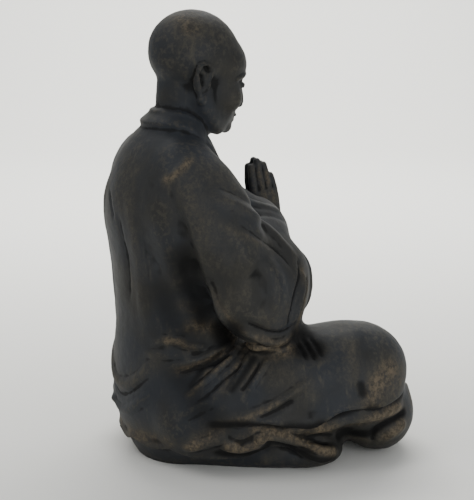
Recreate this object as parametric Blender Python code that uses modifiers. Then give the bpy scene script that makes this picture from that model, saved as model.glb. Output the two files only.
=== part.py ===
"""Monk figurine, seated cross-legged with the hands joined in prayer, cast in one piece.

The figure is built up as a sculptor does: rounded forms fused into one skin, folds and hems
carved into it, then the face and hands. Places and radii in the tables are shares of UNIT.
The figure looks along -Y, its right hand lies on the -X side, and it stands on Z = 0.
"""

import math

import bmesh
import bpy
import numpy as np
from mathutils import Matrix, Vector
from mathutils.bvhtree import BVHTree

# Driving dimensions, in metres
FIGURE_HEIGHT = 0.145
CROWN_PLACE = 0.983
UNIT = FIGURE_HEIGHT / CROWN_PLACE
HEAD_HEIGHT = 0.26 * UNIT
HAND_LENGTH = 0.185 * UNIT

# How the head and the joined hands are set, in degrees and in shares of UNIT
HEAD_BOW = 12.0
HEAD_PLACE = (0.0, -0.066, 0.852)
HAND_LEAN = 11.0
WRIST_PLACE = (0.0, -0.250, 0.478)

# Fineness of the modelling, in metres
ROBE_VOXEL = UNIT / 80
HEAD_VOXEL = UNIT / 130
SKIN_VOXEL = UNIT / 230
TRIANGLES = 9400
AROUND = 28
ALONG = 28
BALL_FINENESS = 4
CURVE_ROWS = 160

# How often each skin is rubbed smooth after it is fused, and how hard
ROBE_RUBS = 12
HEAD_RUBS = 4
SKIN_RUBS = 1
RUB = 0.5

# How the folds are shaped, in shares of their half width, and of their length for the taper, and how
# fast they fade where the skin turns away from the side their line is drawn on
BAND_BORDER = 0.3
STEP_DROP = 0.25
TAPER = 0.25
TURNED_FADE = 2.0
LINE_SPOTS = 48

# The paint
RESIN_COLOR = (0.045, 0.042, 0.039, 1)
RESIN_ROUGHNESS = 0.5

# How the underside is sawn: what is merged at the cut, in metres, and how level a flat face is
CUT_MERGE = 0.00001
FLAT = 0.999

# A vertex nearer than this to a ball's axis is its pole, and line spots this near are one, in metres
POLE = 1e-6
SAME_SPOT = 1e-7

# Form tables of the body: each station is (x, y, z, half width, half depth)
TORSO = (
    (0.0, -0.010, -0.060, 0.070, 0.050),
    (0.0, -0.005, 0.020, 0.125, 0.092),
    (0.0, -0.005, 0.110, 0.175, 0.126),
    (0.0, -0.008, 0.210, 0.178, 0.130),
    (0.0, -0.010, 0.330, 0.168, 0.124),
    (0.0, -0.004, 0.460, 0.166, 0.128),
    (0.0, 0.006, 0.570, 0.170, 0.132),
    (0.0, 0.000, 0.655, 0.146, 0.108),
    (0.0, -0.016, 0.725, 0.096, 0.072),
    (0.0, -0.028, 0.775, 0.064, 0.054),
)
NECK = (
    (0.0, -0.018, 0.690, 0.062, 0.060),
    (0.0, -0.032, 0.750, 0.058, 0.060),
    (0.0, -0.041, 0.820, 0.056, 0.064),
    (0.0, -0.050, 0.880, 0.050, 0.055),
)
SHOULDER = (
    (-0.050, 0.000, 0.690, 0.060, 0.064),
    (-0.110, 0.004, 0.655, 0.064, 0.075),
    (-0.156, -0.006, 0.605, 0.066, 0.092),
    (-0.185, -0.020, 0.530, 0.060, 0.088),
)
CHEST = (
    (0.0, -0.070, 0.200, 0.120, 0.090),
    (0.0, -0.075, 0.360, 0.125, 0.090),
    (0.0, -0.050, 0.500, 0.120, 0.082),
    (0.0, -0.030, 0.610, 0.095, 0.062),
)
UPPER_ARM = (
    (-0.140, 0.000, 0.636, 0.060, 0.081),
    (-0.182, -0.026, 0.570, 0.062, 0.086),
    (-0.208, -0.060, 0.490, 0.060, 0.076),
    (-0.218, -0.100, 0.420, 0.055, 0.066),
)
BACK_CLOTH = (
    (-0.100, 0.024, 0.634, 0.050, 0.068),
    (-0.135, 0.028, 0.560, 0.050, 0.073),
    (-0.148, 0.010, 0.480, 0.046, 0.068),
    (-0.140, 0.000, 0.400, 0.040, 0.060),
)
FOREARM = (
    (-0.218, -0.070, 0.450, 0.056, 0.056),
    (-0.165, -0.136, 0.474, 0.066, 0.056),
    (-0.110, -0.180, 0.507, 0.070, 0.048),
    (-0.064, -0.203, 0.535, 0.064, 0.036),
    (-0.034, -0.213, 0.547, 0.058, 0.028),
)
ARM_CLOTH = (
    (-0.060, -0.020, 0.672, 0.040, 0.046),
    (-0.090, -0.060, 0.612, 0.048, 0.050),
    (-0.084, -0.122, 0.562, 0.044, 0.048),
    (-0.050, -0.180, 0.535, 0.034, 0.042),
)
ARMPIT_CLOTH = (
    (-0.130, -0.060, 0.560, 0.060, 0.070),
    (-0.140, -0.110, 0.500, 0.060, 0.060),
    (-0.110, -0.160, 0.500, 0.050, 0.045),
)
SLEEVE_LINING = (
    (-0.135, -0.070, 0.470, 0.050, 0.062),
    (-0.146, -0.082, 0.390, 0.052, 0.066),
    (-0.152, -0.090, 0.320, 0.050, 0.056),
)
SLEEVE = (
    (-0.212, -0.035, 0.455, 0.060, 0.046),
    (-0.220, -0.092, 0.402, 0.094, 0.056),
    (-0.205, -0.148, 0.382, 0.100, 0.062),
    (-0.172, -0.199, 0.411, 0.088, 0.055),
    (-0.125, -0.243, 0.440, 0.080, 0.041),
)
THIGH = (
    (-0.060, 0.070, 0.100, 0.100, 0.080),
    (-0.130, -0.040, 0.135, 0.112, 0.110),
    (-0.180, -0.170, 0.172, 0.116, 0.118),
    (-0.205, -0.310, 0.196, 0.112, 0.118),
    (-0.204, -0.396, 0.183, 0.108, 0.116),
    (-0.195, -0.472, 0.162, 0.085, 0.101),
)
LEFT_THIGH = (
    (0.060, 0.070, 0.100, 0.100, 0.080),
    (0.130, -0.040, 0.130, 0.112, 0.108),
    (0.180, -0.160, 0.152, 0.114, 0.106),
    (0.200, -0.280, 0.148, 0.109, 0.098),
    (0.198, -0.350, 0.133, 0.102, 0.092),
    (0.188, -0.418, 0.118, 0.085, 0.082),
)
SHIN = (
    (-0.215, -0.330, 0.082, 0.082, 0.080),
    (-0.198, -0.426, 0.087, 0.082, 0.086),
    (-0.120, -0.450, 0.080, 0.070, 0.072),
    (-0.020, -0.410, 0.080, 0.070, 0.070),
    (0.080, -0.340, 0.075, 0.065, 0.065),
)
LAP = (
    (0.0, -0.060, 0.150, 0.130, 0.150),
    (0.0, -0.200, 0.145, 0.180, 0.140),
    (0.0, -0.330, 0.120, 0.190, 0.120),
    (0.0, -0.450, 0.085, 0.150, 0.080),
)
KNEE_CLOTH = (
    (-0.190, -0.350, 0.240, 0.060, 0.060),
    (-0.100, -0.370, 0.190, 0.060, 0.060),
    (0.020, -0.380, 0.150, 0.060, 0.060),
)
LEFT_KNEE_CLOTH = (
    (0.172, -0.290, 0.185, 0.060, 0.060),
    (0.100, -0.330, 0.155, 0.060, 0.060),
    (-0.020, -0.360, 0.135, 0.060, 0.060),
)
SEAT = (
    (0.0, 0.075, 0.030, 0.070, 0.050),
    (0.0, 0.000, 0.030, 0.135, 0.055),
    (0.0, -0.090, 0.030, 0.205, 0.056),
    (0.0, -0.170, 0.030, 0.254, 0.057),
    (0.0, -0.240, 0.030, 0.285, 0.057),
    (0.0, -0.348, 0.030, 0.248, 0.052),
)

# The head in shares of its own height: chin at z 0, crown at z 1, the face along -y
HEAD_PIVOT = (0.0, 0.030, 0.500)
SKULL = ((0.0, 0.084, 0.645), (0.335, 0.386, 0.352))
CROWN = ((0.0, -0.004, 0.638), (0.306, 0.320, 0.314))
FOREHEAD = ((0.0, -0.120, 0.592), (0.288, 0.272, 0.258))
FACE = (
    (0.0, -0.090, 0.700, 0.250, 0.230),
    (0.0, -0.145, 0.500, 0.262, 0.236),
    (0.0, -0.165, 0.340, 0.250, 0.218),
    (0.0, -0.185, 0.200, 0.210, 0.190),
    (0.0, -0.205, 0.020, 0.130, 0.130),
)
JAW = (
    (-0.240, 0.070, 0.430, 0.050, 0.085),
    (-0.232, 0.020, 0.270, 0.056, 0.085),
    (-0.175, -0.110, 0.130, 0.066, 0.080),
    (-0.050, -0.270, 0.050, 0.064, 0.066),
)
CHIN = ((0.0, -0.322, 0.092), (0.080, 0.062, 0.064))
CHEEK = ((-0.150, -0.250, 0.330), (0.110, 0.110, 0.120))
MUZZLE = ((0.0, -0.300, 0.200), (0.125, 0.084, 0.090))
BROW = (
    (-0.020, -0.364, 0.520, 0.016, 0.016),
    (-0.100, -0.364, 0.546, 0.022, 0.018),
    (-0.190, -0.316, 0.533, 0.020, 0.018),
    (-0.250, -0.233, 0.490, 0.014, 0.014),
)
EYEBALL = ((-0.122, -0.318, 0.455), (0.064, 0.055, 0.046))
NOSE = (
    (0.0, -0.346, 0.540, 0.026, 0.026),
    (0.0, -0.380, 0.450, 0.028, 0.030),
    (0.0, -0.408, 0.360, 0.034, 0.036),
    (0.0, -0.420, 0.285, 0.040, 0.040),
)
NOSE_WING = ((-0.044, -0.388, 0.298), (0.030, 0.042, 0.032))
UPPER_LIP = (
    (-0.092, -0.346, 0.188, 0.010, 0.012),
    (-0.045, -0.374, 0.200, 0.018, 0.016),
    (0.0, -0.381, 0.197, 0.016, 0.016),
    (0.045, -0.374, 0.200, 0.018, 0.016),
    (0.092, -0.346, 0.188, 0.010, 0.012),
)
LOWER_LIP = (
    (-0.072, -0.348, 0.170, 0.010, 0.012),
    (0.0, -0.372, 0.155, 0.022, 0.018),
    (0.072, -0.348, 0.170, 0.010, 0.012),
)
EAR_PLATE = ((-0.285, 0.090, 0.435), (0.034, 0.068, 0.122))
EAR_RIM = (
    (-0.285, 0.020, 0.440, 0.016, 0.018),
    (-0.300, 0.022, 0.520, 0.020, 0.020),
    (-0.318, 0.080, 0.565, 0.022, 0.022),
    (-0.332, 0.138, 0.536, 0.022, 0.022),
    (-0.326, 0.150, 0.455, 0.020, 0.020),
    (-0.306, 0.110, 0.352, 0.018, 0.020),
    (-0.290, 0.070, 0.285, 0.016, 0.018),
)
EAR_LOBE = ((-0.280, 0.052, 0.284), (0.032, 0.042, 0.052))
TRAGUS = ((-0.285, 0.020, 0.405), (0.026, 0.022, 0.034))

# A hand in shares of its own length: wrist at z 0, middle fingertip at z 1, the thumb along +y
PALM = (
    (-0.075, 0.000, -0.080, 0.070, 0.130),
    (-0.072, 0.022, 0.120, 0.070, 0.160),
    (-0.070, 0.028, 0.340, 0.068, 0.182),
    (-0.066, 0.020, 0.600, 0.056, 0.180),
)
INDEX = (
    (-0.060, 0.150, 0.480, 0.054, 0.056),
    (-0.056, 0.150, 0.700, 0.050, 0.052),
    (-0.044, 0.125, 0.930, 0.040, 0.042),
)
MIDDLE = (
    (-0.060, 0.050, 0.500, 0.056, 0.056),
    (-0.056, 0.050, 0.740, 0.052, 0.052),
    (-0.044, 0.040, 0.985, 0.042, 0.042),
)
RING = (
    (-0.060, -0.036, 0.490, 0.054, 0.052),
    (-0.056, -0.040, 0.710, 0.050, 0.048),
    (-0.042, -0.036, 0.920, 0.040, 0.038),
)
LITTLE = (
    (-0.058, -0.112, 0.430, 0.048, 0.046),
    (-0.050, -0.118, 0.600, 0.044, 0.042),
    (-0.038, -0.106, 0.770, 0.036, 0.034),
)
WRIST = (
    (-0.800, 0.350, 0.080, 0.150, 0.140),
    (-0.400, 0.200, 0.060, 0.130, 0.125),
    (-0.120, 0.045, 0.060, 0.100, 0.115),
)
THUMB = (
    (-0.066, 0.100, 0.080, 0.070, 0.075),
    (-0.062, 0.200, 0.260, 0.062, 0.066),
    (-0.056, 0.240, 0.420, 0.056, 0.056),
    (-0.046, 0.225, 0.600, 0.042, 0.042),
)

# Folds, creases and hems, each as (kind, height, half width, places), all but the kind in shares of
# UNIT. The places are drawn flat on the side they are seen from: (y, z) from the right and from the
# left, (x, z) from the front and from the back. Those with x, y and z lie on the skin nearest to them.
SIDE_FOLDS = (
    # The arm, its sleeve and the cuff
    ("ridge", 0.006, 0.018, ((0.000, 0.618), (-0.060, 0.592), (-0.115, 0.558), (-0.152, 0.530),
                             (-0.180, 0.498), (-0.205, 0.462))),
    ("crease", -0.004, 0.014, ((-0.010, 0.636), (-0.070, 0.610), (-0.120, 0.574), (-0.156, 0.548))),
    ("crease", -0.005, 0.016, ((-0.050, 0.560), (-0.110, 0.520), (-0.160, 0.482), (-0.190, 0.440))),
    ("ridge", 0.006, 0.030, ((-0.020, 0.560), (-0.055, 0.505), (-0.070, 0.450))),
    ("ridge", 0.006, 0.030, ((-0.110, 0.485), (-0.135, 0.435), (-0.130, 0.375))),
    ("ridge", -0.006, 0.030, ((-0.070, 0.480), (-0.095, 0.420), (-0.095, 0.365))),
    ("crease", -0.010, 0.011, ((-0.206, 0.468), (-0.203, 0.435), (-0.180, 0.395), (-0.166, 0.345),
                               (-0.170, 0.320))),
    ("ridge", 0.007, 0.010, ((-0.216, 0.440), (-0.208, 0.405), (-0.190, 0.365), (-0.182, 0.330))),
    ("crease", -0.008, 0.009, ((-0.230, 0.430), (-0.223, 0.398), (-0.206, 0.362), (-0.196, 0.330))),
    ("ridge", 0.011, 0.013, ((-0.050, 0.338), (-0.082, 0.322), (-0.122, 0.302), (-0.160, 0.298),
                             (-0.188, 0.312))),
    ("crease", -0.010, 0.011, ((-0.058, 0.356), (-0.090, 0.338), (-0.128, 0.322), (-0.165, 0.320),
                               (-0.188, 0.334))),
    ("ridge", -0.013, 0.030, ((0.075, 0.640), (0.066, 0.585), (0.050, 0.530), (0.035, 0.480),
                              (0.022, 0.430))),
    # The hollow between the sleeve and the waist
    ("ridge", -0.014, 0.034, ((0.045, 0.480), (0.018, 0.420), (-0.012, 0.370), (-0.030, 0.330))),
    # The cloth drawn together in the lap
    ("ridge", 0.010, 0.013, ((-0.165, 0.285), (-0.100, 0.285), (-0.043, 0.272), (0.020, 0.256),
                             (0.070, 0.240))),
    ("crease", -0.008, 0.011, ((-0.085, 0.268), (-0.030, 0.250), (0.020, 0.236), (0.055, 0.224))),
    ("ridge", 0.009, 0.011, ((-0.092, 0.276), (-0.040, 0.245), (0.003, 0.214), (0.046, 0.182))),
    ("crease", -0.008, 0.010, ((-0.078, 0.252), (-0.032, 0.222), (0.005, 0.192), (0.030, 0.172))),
    ("ridge", 0.008, 0.011, ((-0.100, 0.270), (-0.074, 0.243), (-0.046, 0.214), (-0.026, 0.188))),
    ("crease", -0.007, 0.010, ((-0.108, 0.256), (-0.082, 0.228), (-0.056, 0.200))),
    ("ridge", 0.006, 0.012, ((-0.125, 0.262), (-0.095, 0.232), (-0.066, 0.200))),
    ("ridge", 0.007, 0.012, ((0.000, 0.186), (0.030, 0.166), (0.060, 0.145))),
    ("crease", -0.005, 0.011, ((-0.008, 0.170), (0.024, 0.150), (0.050, 0.132))),
    ("ridge", 0.006, 0.013, ((-0.205, 0.226), (-0.165, 0.202), (-0.120, 0.176), (-0.080, 0.158),
                             (-0.040, 0.148))),
    ("crease", -0.006, 0.016, ((-0.160, 0.182), (-0.120, 0.162), (-0.080, 0.150))),
    # The knee
    ("ridge", -0.006, 0.028, ((-0.350, 0.300), (-0.326, 0.262), (-0.312, 0.212), (-0.322, 0.160))),
    # The hem of the upper cloth and the roll under it
    ("step", 0.017, 0.050, ((0.000, 0.140), (-0.047, 0.136), (-0.080, 0.142), (-0.111, 0.141),
                            (-0.143, 0.132), (-0.184, 0.124), (-0.209, 0.124), (-0.232, 0.138),
                            (-0.263, 0.154), (-0.314, 0.156), (-0.356, 0.152), (-0.396, 0.158),
                            (-0.445, 0.163))),
    ("crease", -0.010, 0.012, ((-0.060, 0.126), (-0.111, 0.126), (-0.150, 0.116), (-0.205, 0.110),
                               (-0.245, 0.130), (-0.314, 0.138), (-0.360, 0.134), (-0.400, 0.142),
                               (-0.445, 0.148))),
    ("ridge", 0.012, 0.020, ((-0.205, 0.090), (-0.250, 0.104), (-0.290, 0.118), (-0.345, 0.115),
                             (-0.400, 0.122), (-0.445, 0.130))),
    ("crease", -0.010, 0.012, ((-0.365, 0.082), (-0.392, 0.092), (-0.420, 0.102), (-0.450, 0.110))),
    ("crease", -0.009, 0.013, ((-0.372, 0.086), (-0.366, 0.064), (-0.374, 0.044))),
    ("ridge", 0.008, 0.026, ((-0.392, 0.062), (-0.424, 0.074), (-0.447, 0.088))),
    ("crease", -0.007, 0.010, ((-0.205, 0.078), (-0.245, 0.076), (-0.290, 0.066))),
    # The folded hem of the under-robe over the smooth seat
    ("ridge", 0.018, 0.017, ((-0.084, 0.094), (-0.120, 0.102), (-0.154, 0.093), (-0.188, 0.076),
                             (-0.217, 0.058), (-0.246, 0.046), (-0.286, 0.044))),
    ("ridge", 0.015, 0.024, ((-0.024, 0.088), (-0.045, 0.076), (-0.068, 0.072), (-0.090, 0.082),
                             (-0.110, 0.098))),
    ("ridge", 0.009, 0.020, ((0.050, 0.066), (0.020, 0.080), (-0.006, 0.092), (-0.034, 0.100))),
    ("step", 0.015, 0.024, ((0.055, 0.050), (0.020, 0.050), (-0.020, 0.050), (-0.048, 0.050),
                            (-0.078, 0.048), (-0.100, 0.062), (-0.122, 0.080), (-0.152, 0.074),
                            (-0.182, 0.056), (-0.212, 0.036), (-0.246, 0.028), (-0.290, 0.036))),
)
RIGHT_FOLDS = (
    ("ridge", 0.003, 0.014, ((0.020, 0.690), (0.070, 0.645))),
    ("ridge", 0.005, 0.013, ((0.065, 0.316), (0.040, 0.323), (0.012, 0.331), (-0.012, 0.324))),
    ("ridge", 0.006, 0.013, ((0.090, 0.288), (0.055, 0.300), (0.020, 0.288), (-0.020, 0.282))),
    ("ridge", 0.005, 0.012, ((0.100, 0.262), (0.060, 0.266), (0.015, 0.268))),
    ("ridge", 0.004, 0.013, ((0.030, 0.388), (0.008, 0.382), (-0.010, 0.372))),
    # The ribbed hollow under the sleeve's tip
    ("crease", -0.009, 0.008, ((-0.192, 0.296), (-0.195, 0.276), (-0.199, 0.256))),
    ("crease", -0.010, 0.008, ((-0.208, 0.300), (-0.211, 0.278), (-0.216, 0.256))),
    ("crease", -0.009, 0.008, ((-0.225, 0.298), (-0.228, 0.280), (-0.232, 0.262))),
)
SLEEVE_RIM = ("ridge", 0.007, 0.011, ((-0.200, 0.000, 0.440), (-0.218, -0.012, 0.400),
                                      (-0.232, -0.022, 0.366), (-0.234, -0.044, 0.334)))
BACK_FOLDS = (
    ("crease", -0.005, 0.009, ((0.022, 0.605), (0.000, 0.575), (-0.018, 0.545))),
    ("ridge", 0.004, 0.026, ((-0.070, 0.620), (-0.088, 0.520), (-0.085, 0.400), (-0.095, 0.300))),
    ("ridge", 0.004, 0.026, ((0.060, 0.630), (0.085, 0.510), (0.080, 0.390), (0.090, 0.300))),
    ("crease", -0.005, 0.022, ((-0.040, 0.560), (-0.050, 0.460), (-0.040, 0.360))),
    ("ridge", 0.006, 0.018, ((-0.130, 0.260), (-0.070, 0.196), (0.000, 0.174), (0.060, 0.194),
                             (0.120, 0.256))),
    ("crease", -0.006, 0.016, ((-0.110, 0.214), (-0.050, 0.164), (0.010, 0.148), (0.080, 0.180))),
    ("ridge", 0.006, 0.016, ((-0.120, 0.180), (-0.050, 0.128), (0.010, 0.112), (0.080, 0.134))),
    ("ridge", 0.005, 0.014, ((0.030, 0.130), (0.090, 0.110), (0.140, 0.130))),
    ("step", 0.011, 0.026, ((0.150, 0.064), (0.105, 0.054), (0.060, 0.060), (0.010, 0.046),
                            (-0.040, 0.058), (-0.090, 0.048), (-0.150, 0.062))),
)
FRONT_FOLDS = (
    ("ridge", 0.009, 0.014, ((-0.125, 0.262), (-0.060, 0.222), (0.010, 0.210), (0.075, 0.225),
                             (0.120, 0.255))),
    ("crease", -0.007, 0.012, ((-0.115, 0.238), (-0.050, 0.202), (0.020, 0.192), (0.090, 0.214))),
    ("ridge", 0.009, 0.014, ((-0.140, 0.222), (-0.070, 0.185), (0.010, 0.172), (0.085, 0.188),
                             (0.135, 0.220))),
    ("crease", -0.007, 0.012, ((-0.130, 0.200), (-0.060, 0.166), (0.015, 0.154), (0.095, 0.174))),
    ("ridge", 0.008, 0.014, ((-0.150, 0.185), (-0.080, 0.152), (0.000, 0.140), (0.080, 0.152),
                             (0.140, 0.182))),
    ("step", 0.013, 0.040, ((0.240, 0.150), (0.190, 0.128), (0.120, 0.134), (0.050, 0.116),
                            (-0.020, 0.124), (-0.090, 0.112), (-0.160, 0.130), (-0.240, 0.150))),
    ("ridge", 0.009, 0.015, ((-0.210, 0.104), (-0.140, 0.082), (-0.060, 0.070), (0.020, 0.074))),
    ("ridge", 0.009, 0.015, ((0.200, 0.104), (0.140, 0.080), (0.070, 0.056))),
    ("crease", -0.007, 0.012, ((-0.180, 0.074), (-0.110, 0.056), (-0.050, 0.050))),
    ("step", 0.010, 0.022, ((0.200, 0.048), (0.130, 0.032), (0.060, 0.044), (0.000, 0.030),
                            (-0.070, 0.042), (-0.140, 0.030), (-0.200, 0.048))),
)
SLEEVE_FOLDS = (
    ("ridge", 0.007, 0.011, ((-0.110, 0.470), (-0.140, 0.430), (-0.150, 0.380), (-0.140, 0.330))),
    ("ridge", 0.007, 0.011, ((-0.150, 0.480), (-0.175, 0.430), (-0.180, 0.370), (-0.165, 0.320))),
    ("crease", -0.007, 0.010, ((-0.130, 0.475), (-0.158, 0.430), (-0.165, 0.375), (-0.152, 0.325))),
    ("ridge", 0.004, 0.014, ((-0.150, 0.610), (-0.120, 0.570), (-0.095, 0.540))),
    ("crease", -0.003, 0.014, ((-0.170, 0.580), (-0.135, 0.540), (-0.105, 0.515))),
)
LAPELS = (
    ("band", 0.008, 0.024, ((-0.070, 0.725), (-0.060, 0.690), (-0.035, 0.640), (0.005, 0.590),
                            (0.040, 0.540))),
    ("band", 0.009, 0.024, ((0.070, 0.725), (0.060, 0.690), (0.030, 0.630), (-0.015, 0.565),
                            (-0.050, 0.500), (-0.070, 0.430))),
)
COLLAR = ("band", 0.012, 0.028, ((0.072, -0.060, 0.715), (0.066, -0.018, 0.742), (0.045, 0.022, 0.754),
                                 (0.000, 0.042, 0.758), (-0.045, 0.022, 0.754), (-0.066, -0.018, 0.742),
                                 (-0.072, -0.060, 0.715)))

# Fine lines of the face, in the head's own frame
FACE_LINES = (
    ("ridge", -0.022, 0.045, ((-0.070, -0.36, 0.500), (-0.120, -0.36, 0.512), (-0.175, -0.33, 0.500))),
    ("ridge", -0.012, 0.014, ((-0.070, -0.36, 0.432), (-0.120, -0.37, 0.422), (-0.172, -0.33, 0.432))),
    ("ridge", -0.010, 0.022, ((-0.062, -0.38, 0.290), (-0.090, -0.36, 0.235), (-0.110, -0.34, 0.190))),
)
MOUTH_LINE = ("ridge", -0.014, 0.012, ((-0.095, -0.34, 0.184), (-0.040, -0.40, 0.178), (0.000, -0.41, 0.180),
                                       (0.040, -0.40, 0.178), (0.095, -0.34, 0.184)))
PHILTRUM = ("ridge", -0.008, 0.014, ((0.0, -0.41, 0.255), (0.0, -0.40, 0.225)))
EAR_LINE = ("ridge", -0.026, 0.024, ((-0.33, 0.050, 0.505), (-0.34, 0.090, 0.516), (-0.34, 0.110, 0.470),
                                     (-0.32, 0.085, 0.400), (-0.31, 0.055, 0.372)))

# Which way a limb's half widths lie
SIDEWAYS = (1, 0, 0)
FORWARD = (0, 1, 0)
UPRIGHT = (0, 0, 1)
SLANTING = (0, 1, 1)


def smooth_rows(rows, count=CURVE_ROWS):
    """Rows read off a Catmull-Rom curve through the stations, evenly spaced along it."""
    rows = np.array(rows, float)
    padded = np.vstack([2 * rows[0] - rows[1], rows, 2 * rows[-1] - rows[-2]])
    place = np.linspace(0, len(rows) - 1, count)
    i = np.minimum(place.astype(int), len(rows) - 2)
    t = (place - i)[:, None]
    a, b, c, d = padded[i], padded[i + 1], padded[i + 2], padded[i + 3]
    curve = 0.5 * (2 * b + (c - a) * t + (2 * a - 5 * b + 4 * c - d) * t**2 + (3 * b - a - 3 * c + d) * t**3)
    run = np.concatenate([[0], np.cumsum(np.linalg.norm(np.diff(curve[:, :3], axis=0), axis=1))])
    even = np.linspace(0, run[-1], count)
    return np.stack([np.interp(even, run, column) for column in curve.T], axis=1), run[-1]


def limb(bm, stations, side=SIDEWAYS, scale=UNIT, place=None):
    """A sphere drawn out along the stations, its rings set to their half widths and depths.

    The half widths lie along side, and the half depths square to it.
    """
    made = bmesh.ops.create_uvsphere(bm, u_segments=AROUND, v_segments=ALONG, radius=1)["verts"]
    ball = np.array([v.co for v in made])
    rows, length = smooth_rows(np.array(stations) * scale)
    share = (1 - ball[:, 2]) / 2
    shares = np.linspace(0, 1, len(rows))
    station = np.stack([np.interp(share, shares, column) for column in rows.T], axis=1)
    tangents = np.gradient(rows[:, :3], axis=0)
    tangent = np.stack([np.interp(share, shares, column) for column in tangents.T], axis=1)
    tangent /= np.linalg.norm(tangent, axis=1)[:, None]
    across = np.array(side, float) - (tangent @ np.array(side, float))[:, None] * tangent
    across /= np.linalg.norm(across, axis=1)[:, None]
    through = np.cross(tangent, across)
    from_end = np.minimum(share, 1 - share) * length
    cap = np.clip(1 - from_end / np.minimum(station[:, 3], station[:, 4]), 0, 1)
    swell = np.sqrt(1 - cap**2)
    ring = np.hypot(ball[:, 0], ball[:, 1])
    turn = np.where(ring > POLE, ring, 1.0)
    offset = (ball[:, 0] / turn * station[:, 3] * swell)[:, None] * across
    offset += (ball[:, 1] / turn * station[:, 4] * swell)[:, None] * through
    for vert, spot in zip(made, station[:, :3] + offset):
        vert.co = place @ Vector(spot) if place else Vector(spot)


def mirrored(stations):
    return tuple((-row[0],) + tuple(row[1:]) for row in stations)


def fused(blocks, voxel, smoothing, skin=None):
    """New forms and the skin so far fused into one skin of even faces, then rubbed smooth."""
    bm = bmesh.new()
    for block in blocks:
        block(bm)
    if skin:
        bm.from_mesh(skin)
        bpy.data.meshes.remove(skin)
    bmesh.ops.recalc_face_normals(bm, faces=bm.faces)
    mesh = bpy.data.meshes.new("forms")
    bm.to_mesh(mesh)
    bm.free()
    shape = bpy.data.objects.new("forms", mesh)
    bpy.context.scene.collection.objects.link(shape)
    fuse = shape.modifiers.new("fuse", "REMESH")
    fuse.mode = "VOXEL"
    fuse.voxel_size = voxel
    rub = shape.modifiers.new("rub", "SMOOTH")
    rub.factor = RUB
    rub.iterations = smoothing
    graph = bpy.context.evaluated_depsgraph_get()
    skin = bpy.data.meshes.new_from_object(shape.evaluated_get(graph))
    bpy.data.objects.remove(shape)
    bpy.data.meshes.remove(mesh)
    return skin


def ball(bm, form, scale=UNIT, place=None):
    """A sphere stretched to its three radii."""
    centre, radii = form
    made = bmesh.ops.create_icosphere(bm, subdivisions=BALL_FINENESS, radius=1)["verts"]
    for vert in made:
        spot = Vector(scale * (c + r * x) for c, r, x in zip(centre, radii, vert.co))
        vert.co = place @ spot if place else spot


def ridge_height(share):
    """A rounded fold: highest on its line, level with the cloth at its edges."""
    return np.clip(1 - share**2, 0, 1) ** 2


def band_height(share):
    """A flat strip of cloth with rounded borders."""
    border = np.clip((1 - np.abs(share)) / BAND_BORDER, 0, 1)
    return border * border * (3 - 2 * border)


def crease_height(share):
    """A sharp fold, deepest or highest on its very line."""
    return np.clip(1 - np.abs(share), 0, 1) ** 2


def step_height(share):
    """A hem: it drops off at once below its line and thins out slowly above it."""
    above = np.clip(1 - share, 0, 1) ** 2
    below = np.clip(1 + share / STEP_DROP, 0, 1)
    return np.where(share > 0, above, below)


KINDS = {"ridge": ridge_height, "band": band_height, "crease": crease_height, "step": step_height}
VIEWS = {"right": (0, 1), "left": (0, -1), "front": (1, 1), "back": (1, -1)}


def drawn_line(tree, view, places, scale, place):
    """The spots and normals of the skin under a line drawn on it."""
    flat = np.array([tuple(row) + (0.0,) * (3 - len(row)) for row in places])
    rows, _ = smooth_rows(flat, LINE_SPOTS)
    hits = []
    for row in rows:
        if view == "near":
            spot = Vector(row * scale)
            hit = tree.find_nearest(place @ spot if place else spot)
        else:
            axis, toward = VIEWS[view]
            start = np.insert(row[:2] * scale, axis, -toward * scale)
            way = [0.0, 0.0, 0.0]
            way[axis] = toward
            hit = tree.ray_cast(Vector(start), Vector(way))
        if hit[0] is None:
            raise ValueError(f"a line drawn from the {view} leaves the figure at {tuple(row.round(3))}")
        if not hits or (hit[0] - hits[-1][0]).length > SAME_SPOT:
            hits.append(hit)
    return np.array([h[0] for h in hits]), np.array([h[1] for h in hits])


def carve(skin, lines, scale=UNIT, place=None):
    """Raise and sink the skin along each line: folds, creases, bands and hems."""
    count = len(skin.vertices)
    spots = np.empty(count * 3)
    skin.vertices.foreach_get("co", spots)
    spots = spots.reshape(-1, 3)
    facing = np.empty(count * 3)
    skin.vertices.foreach_get("normal", facing)
    facing = facing.reshape(-1, 3)
    tree = BVHTree.FromPolygons(spots.tolist(), [tuple(face.vertices) for face in skin.polygons])
    moved = spots.copy()
    for kind, view, height, half_width, places in lines:
        line, normals = drawn_line(tree, view, places, scale, place)
        reach = half_width * scale
        near = np.all((spots > line.min(0) - reach) & (spots < line.max(0) + reach), axis=1).nonzero()[0]
        start, run = line[:-1], np.diff(line, axis=0)
        to_spot = spots[near][:, None] - start
        along = np.clip((to_spot * run).sum(2) / (run**2).sum(1), 0, 1)
        gap = to_spot - along[..., None] * run
        distance = np.linalg.norm(gap, axis=2)
        nearest = distance.argmin(1)
        pick = np.arange(len(near)), nearest
        share = distance[pick] / reach
        if kind == "step":
            uphill = np.cross(normals[nearest], run[nearest])
            share *= np.sign((gap[pick] * uphill).sum(1))
        place_along = (nearest + along[pick]) / len(run)
        taper = np.clip(np.minimum(place_along, 1 - place_along) / TAPER, 0, 1)
        taper = taper * (2 - taper)
        same_side = np.clip((facing[near] * normals[nearest]).sum(1) * TURNED_FADE, 0, 1)
        lift = height * scale * KINDS[kind](share) * taper * same_side
        moved[near] += lift[:, None] * facing[near]
    skin.vertices.foreach_set("co", moved.ravel())
    skin.update()


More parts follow.
